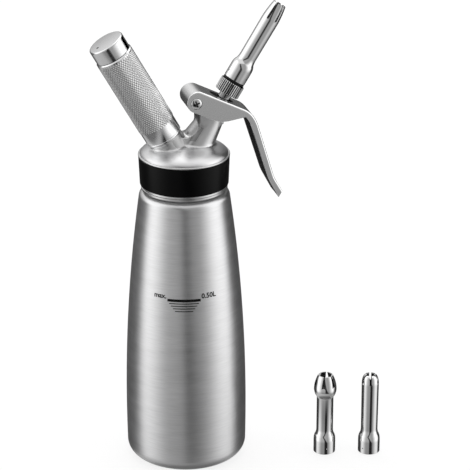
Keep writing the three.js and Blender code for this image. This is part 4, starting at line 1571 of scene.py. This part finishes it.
@dataclass
class Nozzle:
    """Thin-walled nozzle with slots in its tip and dimples in its foot."""

    name: str
    node: str
    body: Body
    where: Matrix
    tip: Outline
    slot_length: float
    slot_foot: float
    slot_tip: float
    round_foot: bool = True
    length: float = 56.4
    wall: float = 0.8
    base: float = 7.32
    base_height: float = 10.4
    shoulder: float = 4.6
    tube: float = 5.6
    slots: int = 6
    dimples: int = 3
    dimple: float = 0.45
    dimple_height: float = 4.0
    dimple_turn: float = -37.0

    def outer(self) -> Outline:
        """Give the outside line from the foot to the tip."""
        low, high = self.base_height, self.base_height + self.shoulder
        middle = ((self.base + self.tube) / 2, (low + high) / 2)
        return [
            (self.base - 0.15, 0),
            (self.base, 0.15),
            *bend((self.base, low - 2), (self.base, low + 0.8), middle, 8),
            *bend(middle, (self.tube, high - 0.8), (self.tube, high + 2), 8)[1:],
            *self.tip,
        ]

    def build(self) -> None:
        """Spin the shell, saw the slots and drill the dimples."""
        outer = self.outer()
        inner = [(radius - self.wall, height) for radius, height in reversed(outer)]
        piece = lathe(self.name, [*outer, *inner], steps=72, ring=True)
        foot, half = self.length - self.slot_length, self.slot_foot / 2
        square = [(-half, foot), (half, foot)]
        feet = arc(0, foot, half, 180, 360, 10) if self.round_foot else square
        top = [(self.slot_tip / 2, self.length + 1), (-self.slot_tip / 2, self.length + 1)]
        for index in range(self.slots // 2):
            turn = swing(360 * index / self.slots, "Z")
            merge(piece, [plate("Saw", [*feet, *top], 2 * self.base, turn)])
        for index in range(self.dimples):
            turn = swing(360 * index / self.dimples + self.dimple_turn, "Z")
            side = shift(z=self.dimple_height) @ turn @ swing(90)
            merge(piece, [rod("Dimple", self.dimple, 0, 2 * self.base, side, 20)])
        place(piece, self.where)
        shade(piece, 30)
        axis = Axis(self.where, f"_{self.body.value}")
        fit(piece, self.body, STEEL, axis, self.node)
        # Painted shade inside the bore.
        redress(piece, BORE_PAINTED_SHADE, self.within, axis)

    @staticmethod
    def within(middle: Vector, normal: Vector) -> bool:
        """Tell whether a face belongs to the bore."""
        return normal.xy.dot(middle.xy) < -0.3 * middle.xy.length


def nozzles() -> list[Nozzle]:
    """Give the mounted nozzle and the two that stand beside the bottle."""
    end, tube = Nozzle.length, Nozzle.tube
    seat = VALVE.place @ shift(z=63.85) @ swing(-41.8, "Z")
    by_tulip = shift(88.9, -28.7) @ swing(33, "Z")
    by_star = shift(118.0, -36.3) @ swing(-16, "Z")
    taper = bend((5.75, end - 11.8), (5.45, end - 5.5), (4.3, end - 0.05), 10)
    bulb = [
        (tube, 40.2),
        *bend((tube + 0.15, 41.0), (7.2, 42.6), (7.6, 46.0), 8),
        *bend((7.6, 46.0), (7.6, (46 + end) / 2), (4.9, end), 12)[1:],
    ]
    nib = oval(3.4, end - 6.4, 5.75 - 3.4, 6.4, 0, 90)
    plain = ("Plain_nozzle", "nozzle_plain", Body.NOZZLE, seat, taper)
    tulip = ("Tulip_nozzle", "spare_nozzle_tulip", Body.TULIP, by_tulip, bulb)
    star = ("Star_nozzle", "spare_nozzle_star", Body.STAR, by_star, nib)
    return [
        Nozzle(*plain, slot_length=10.9, slot_foot=1.5, slot_tip=1.5),
        Nozzle(*tulip, slot_length=9.0, slot_foot=2.9, slot_tip=0.7, round_foot=False),
        Nozzle(*star, slot_length=5.5, slot_foot=1.4, slot_tip=1.4),
    ]


class Carried:
    """Nodes of the frame that keep their shape and get a finish."""

    FINISHES: dict[str, tuple[Finish, Axis]] = {
        "head_gasket": (RUBBER, UP),
        "gas_charger": (STEEL, HOLDER),
        "pin_carrier": (STEEL, HOLDER),
        "piercing_pin": (STEEL, HOLDER),
        "port_seal": (RUBBER, HOLDER),
        "valve_seal": (RUBBER, VALVE),
        "valve_foot": (STEEL, VALVE),
        "stem_o_ring": (RUBBER, VALVE),
        "valve_spring": (STEEL, VALVE),
        "lever_collar": (STEEL, VALVE),
        "pivot_washer_near": (NYLON, UP),
        "pivot_washer_far": (NYLON, UP),
    }

    def build(self) -> None:
        """Give each carried node its finish."""
        for name, (finish, axis) in self.FINISHES.items():
            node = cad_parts[name]
            node.data.materials.clear()
            node.data.materials.append(finish.material(axis))
            LOG.info("%s keeps its shape", name)


@dataclass
class Studio:
    """Floor, lamp, world and camera."""

    turn: float = -15.0
    elevation: float = 22.23
    distance: float = 1.4595
    target: tuple[float, float, float] = (0.0317, -0.0085, 0.1553)
    lens: float = 171.1
    paper: float = 0.7
    glow: float = 1.12
    lamp_rise: float = 62.0
    lamp_reach: float = 2.2
    lamp_size: tuple[float, float] = (2.0, 1.4)
    lamp_watts: float = 9.0

    def way(self, aside: float, rise: float) -> Vector:
        """Give the direction at an angle from the camera's side and one over the floor."""
        angle, lift = math.radians(self.turn + aside), math.radians(rise)
        level = math.cos(lift)
        return Vector((math.sin(angle) * level, -math.cos(angle) * level, math.sin(lift)))

    def camera(self) -> None:
        """Set the camera at the photograph's viewing angle."""
        clear()
        back = self.way(0, self.elevation) * self.distance
        bpy.ops.object.camera_add(location=Vector(self.target) + back)
        camera = bpy.context.object
        lean = math.radians(90 - self.elevation)
        camera.rotation_euler = (lean, 0, math.radians(self.turn))
        camera.data.lens = self.lens
        camera.data.sensor_width = 36
        camera.data.clip_start, camera.data.clip_end = 0.05, 50
        bpy.context.scene.camera = camera

    def lamp(self) -> None:
        """Hang a soft lamp behind and above the object."""
        clear()
        away = self.way(180, self.lamp_rise)
        spot = Vector((0, 0, 0.15)) + away * self.lamp_reach
        bpy.ops.object.light_add(type="AREA", location=spot)
        lamp = bpy.context.object
        lamp.name = "Top_box"
        lamp.rotation_euler = away.to_track_quat("Z", "Y").to_euler()
        lamp.data.shape = "RECTANGLE"
        lamp.data.size, lamp.data.size_y = self.lamp_size
        lamp.data.energy = self.lamp_watts

    def floor(self) -> None:
        """Lay a pale floor that keeps the object's shadow."""
        clear()
        bpy.ops.mesh.primitive_plane_add(size=12, location=(0, 0, -0.0002))
        floor = bpy.context.object
        floor.name = "Floor"
        made = bpy.data.materials.new("Floor_paper")
        made.use_nodes = True
        graph = Graph(made.node_tree)
        white = graph.node("Emission", {"Color": (1, 1, 1, 1), "Strength": self.glow})
        matt = {"Base Color": (0.86, 0.86, 0.86, 1), "Roughness": 0.9}
        paper = graph.node("BsdfPrincipled", matt)
        seen, mirrored, shadow = (
            graph.node("LightPath", out=f"Is {ray} Ray") for ray in ("Camera", "Glossy", "Shadow")
        )
        top = graph.node("MixShader", [seen * self.paper, paper, white])
        clear_sheet = graph.node("BsdfTransparent")
        surface = graph.node("MixShader", [mirrored.most(shadow), top, clear_sheet])
        graph.node("OutputMaterial", {"Surface": surface})
        floor.data.materials.append(made)

    def world(self) -> None:
        """Give the room: white to the camera, boxes and dark gaps to the metal."""
        world = bpy.data.worlds.new("Room")
        bpy.context.scene.world = world
        world.use_nodes = True
        graph = Graph(world.node_tree)
        plain, lit = (
            graph.node("Background", {"Color": (1, 1, 1, 1), "Strength": strength})
            for strength in (1.0, self.room(graph))
        )
        camera = graph.node("LightPath", out="Is Camera Ray")
        graph.node("OutputWorld", {"Surface": graph.node("MixShader", [camera, lit, plain])})

    def room(self, graph: Graph) -> Signal:
        """Give the room's brightness by direction.

        Args:
            graph: The world's graph.

        Returns:
            The brightness: a tall box on either side, a bright back wall over a dark one, a grey
            front with a narrow dark gap, and a grey table.
        """
        way = graph.node("TexCoord", out="Generated")
        ahead, beside, height = (
            graph.vectors("DOT_PRODUCT", way, axis, out="Value")
            for axis in (self.way(0, 0), self.way(90, 0), Vector((0, 0, 1)))
        )
        degrees = 180 / math.pi
        turn = graph.maths("ARCTAN2", beside, ahead) * degrees
        rise = graph.maths("ARCSINE", height) * degrees
        away = turn.size()
        gap = 1.0 - ((turn + rise * 0.55).size() + rise.over(-20, 14) * 10.0).over(17, 5)
        front = (0.40 - beside * 0.09) * (1.0 - gap * 0.94)
        behind = (0.20 - beside * 0.34).to(0.07, 1.0 - rise.over(0, 8))
        low = front.to(behind, away.over(100, 12))
        raised = rise.over(8, 12) * (25.0 - beside * 6.0)
        box = away.over(55, 25) * (1.0 - (away - beside * 5.0 - raised).over(98, 11))
        box_light, sky_light = 1.36, 0.84
        sides = low.to(box_light, box)
        lower = rise.over(-26, 14) * 0.6 + 0.4
        table = (0.42 - beside * 0.16) * (rise.over(-56, 8) * 0.65 + 0.35)
        over_table = table.to(sides * lower, rise.over(-37, 7))
        lean = away * 0.165 - beside * 18.0 * (1.0 - rise.over(34, 8))
        sky = (rise + lean).over(50, 8)
        return over_table.to(sky_light, sky * (1.0 - box * (1.0 - rise.over(54, 10))))

    def build(self) -> None:
        """Set up the camera, the floor, the world and the lamp."""
        self.camera()
        self.floor()
        self.world()
        self.lamp()
        bpy.context.scene.view_settings.view_transform = "Standard"


def main() -> None:
    """Build the dispenser's pieces in order."""
    logging.basicConfig(level=logging.INFO, format="%(name)s: %(message)s")
    parts = [Studio(), Bottle(), Head(), Holder(), Lever(), Valve(), *nozzles(), Carried()]
    for part in parts:
        part.build()


if __name__ == "__main__":
    main()
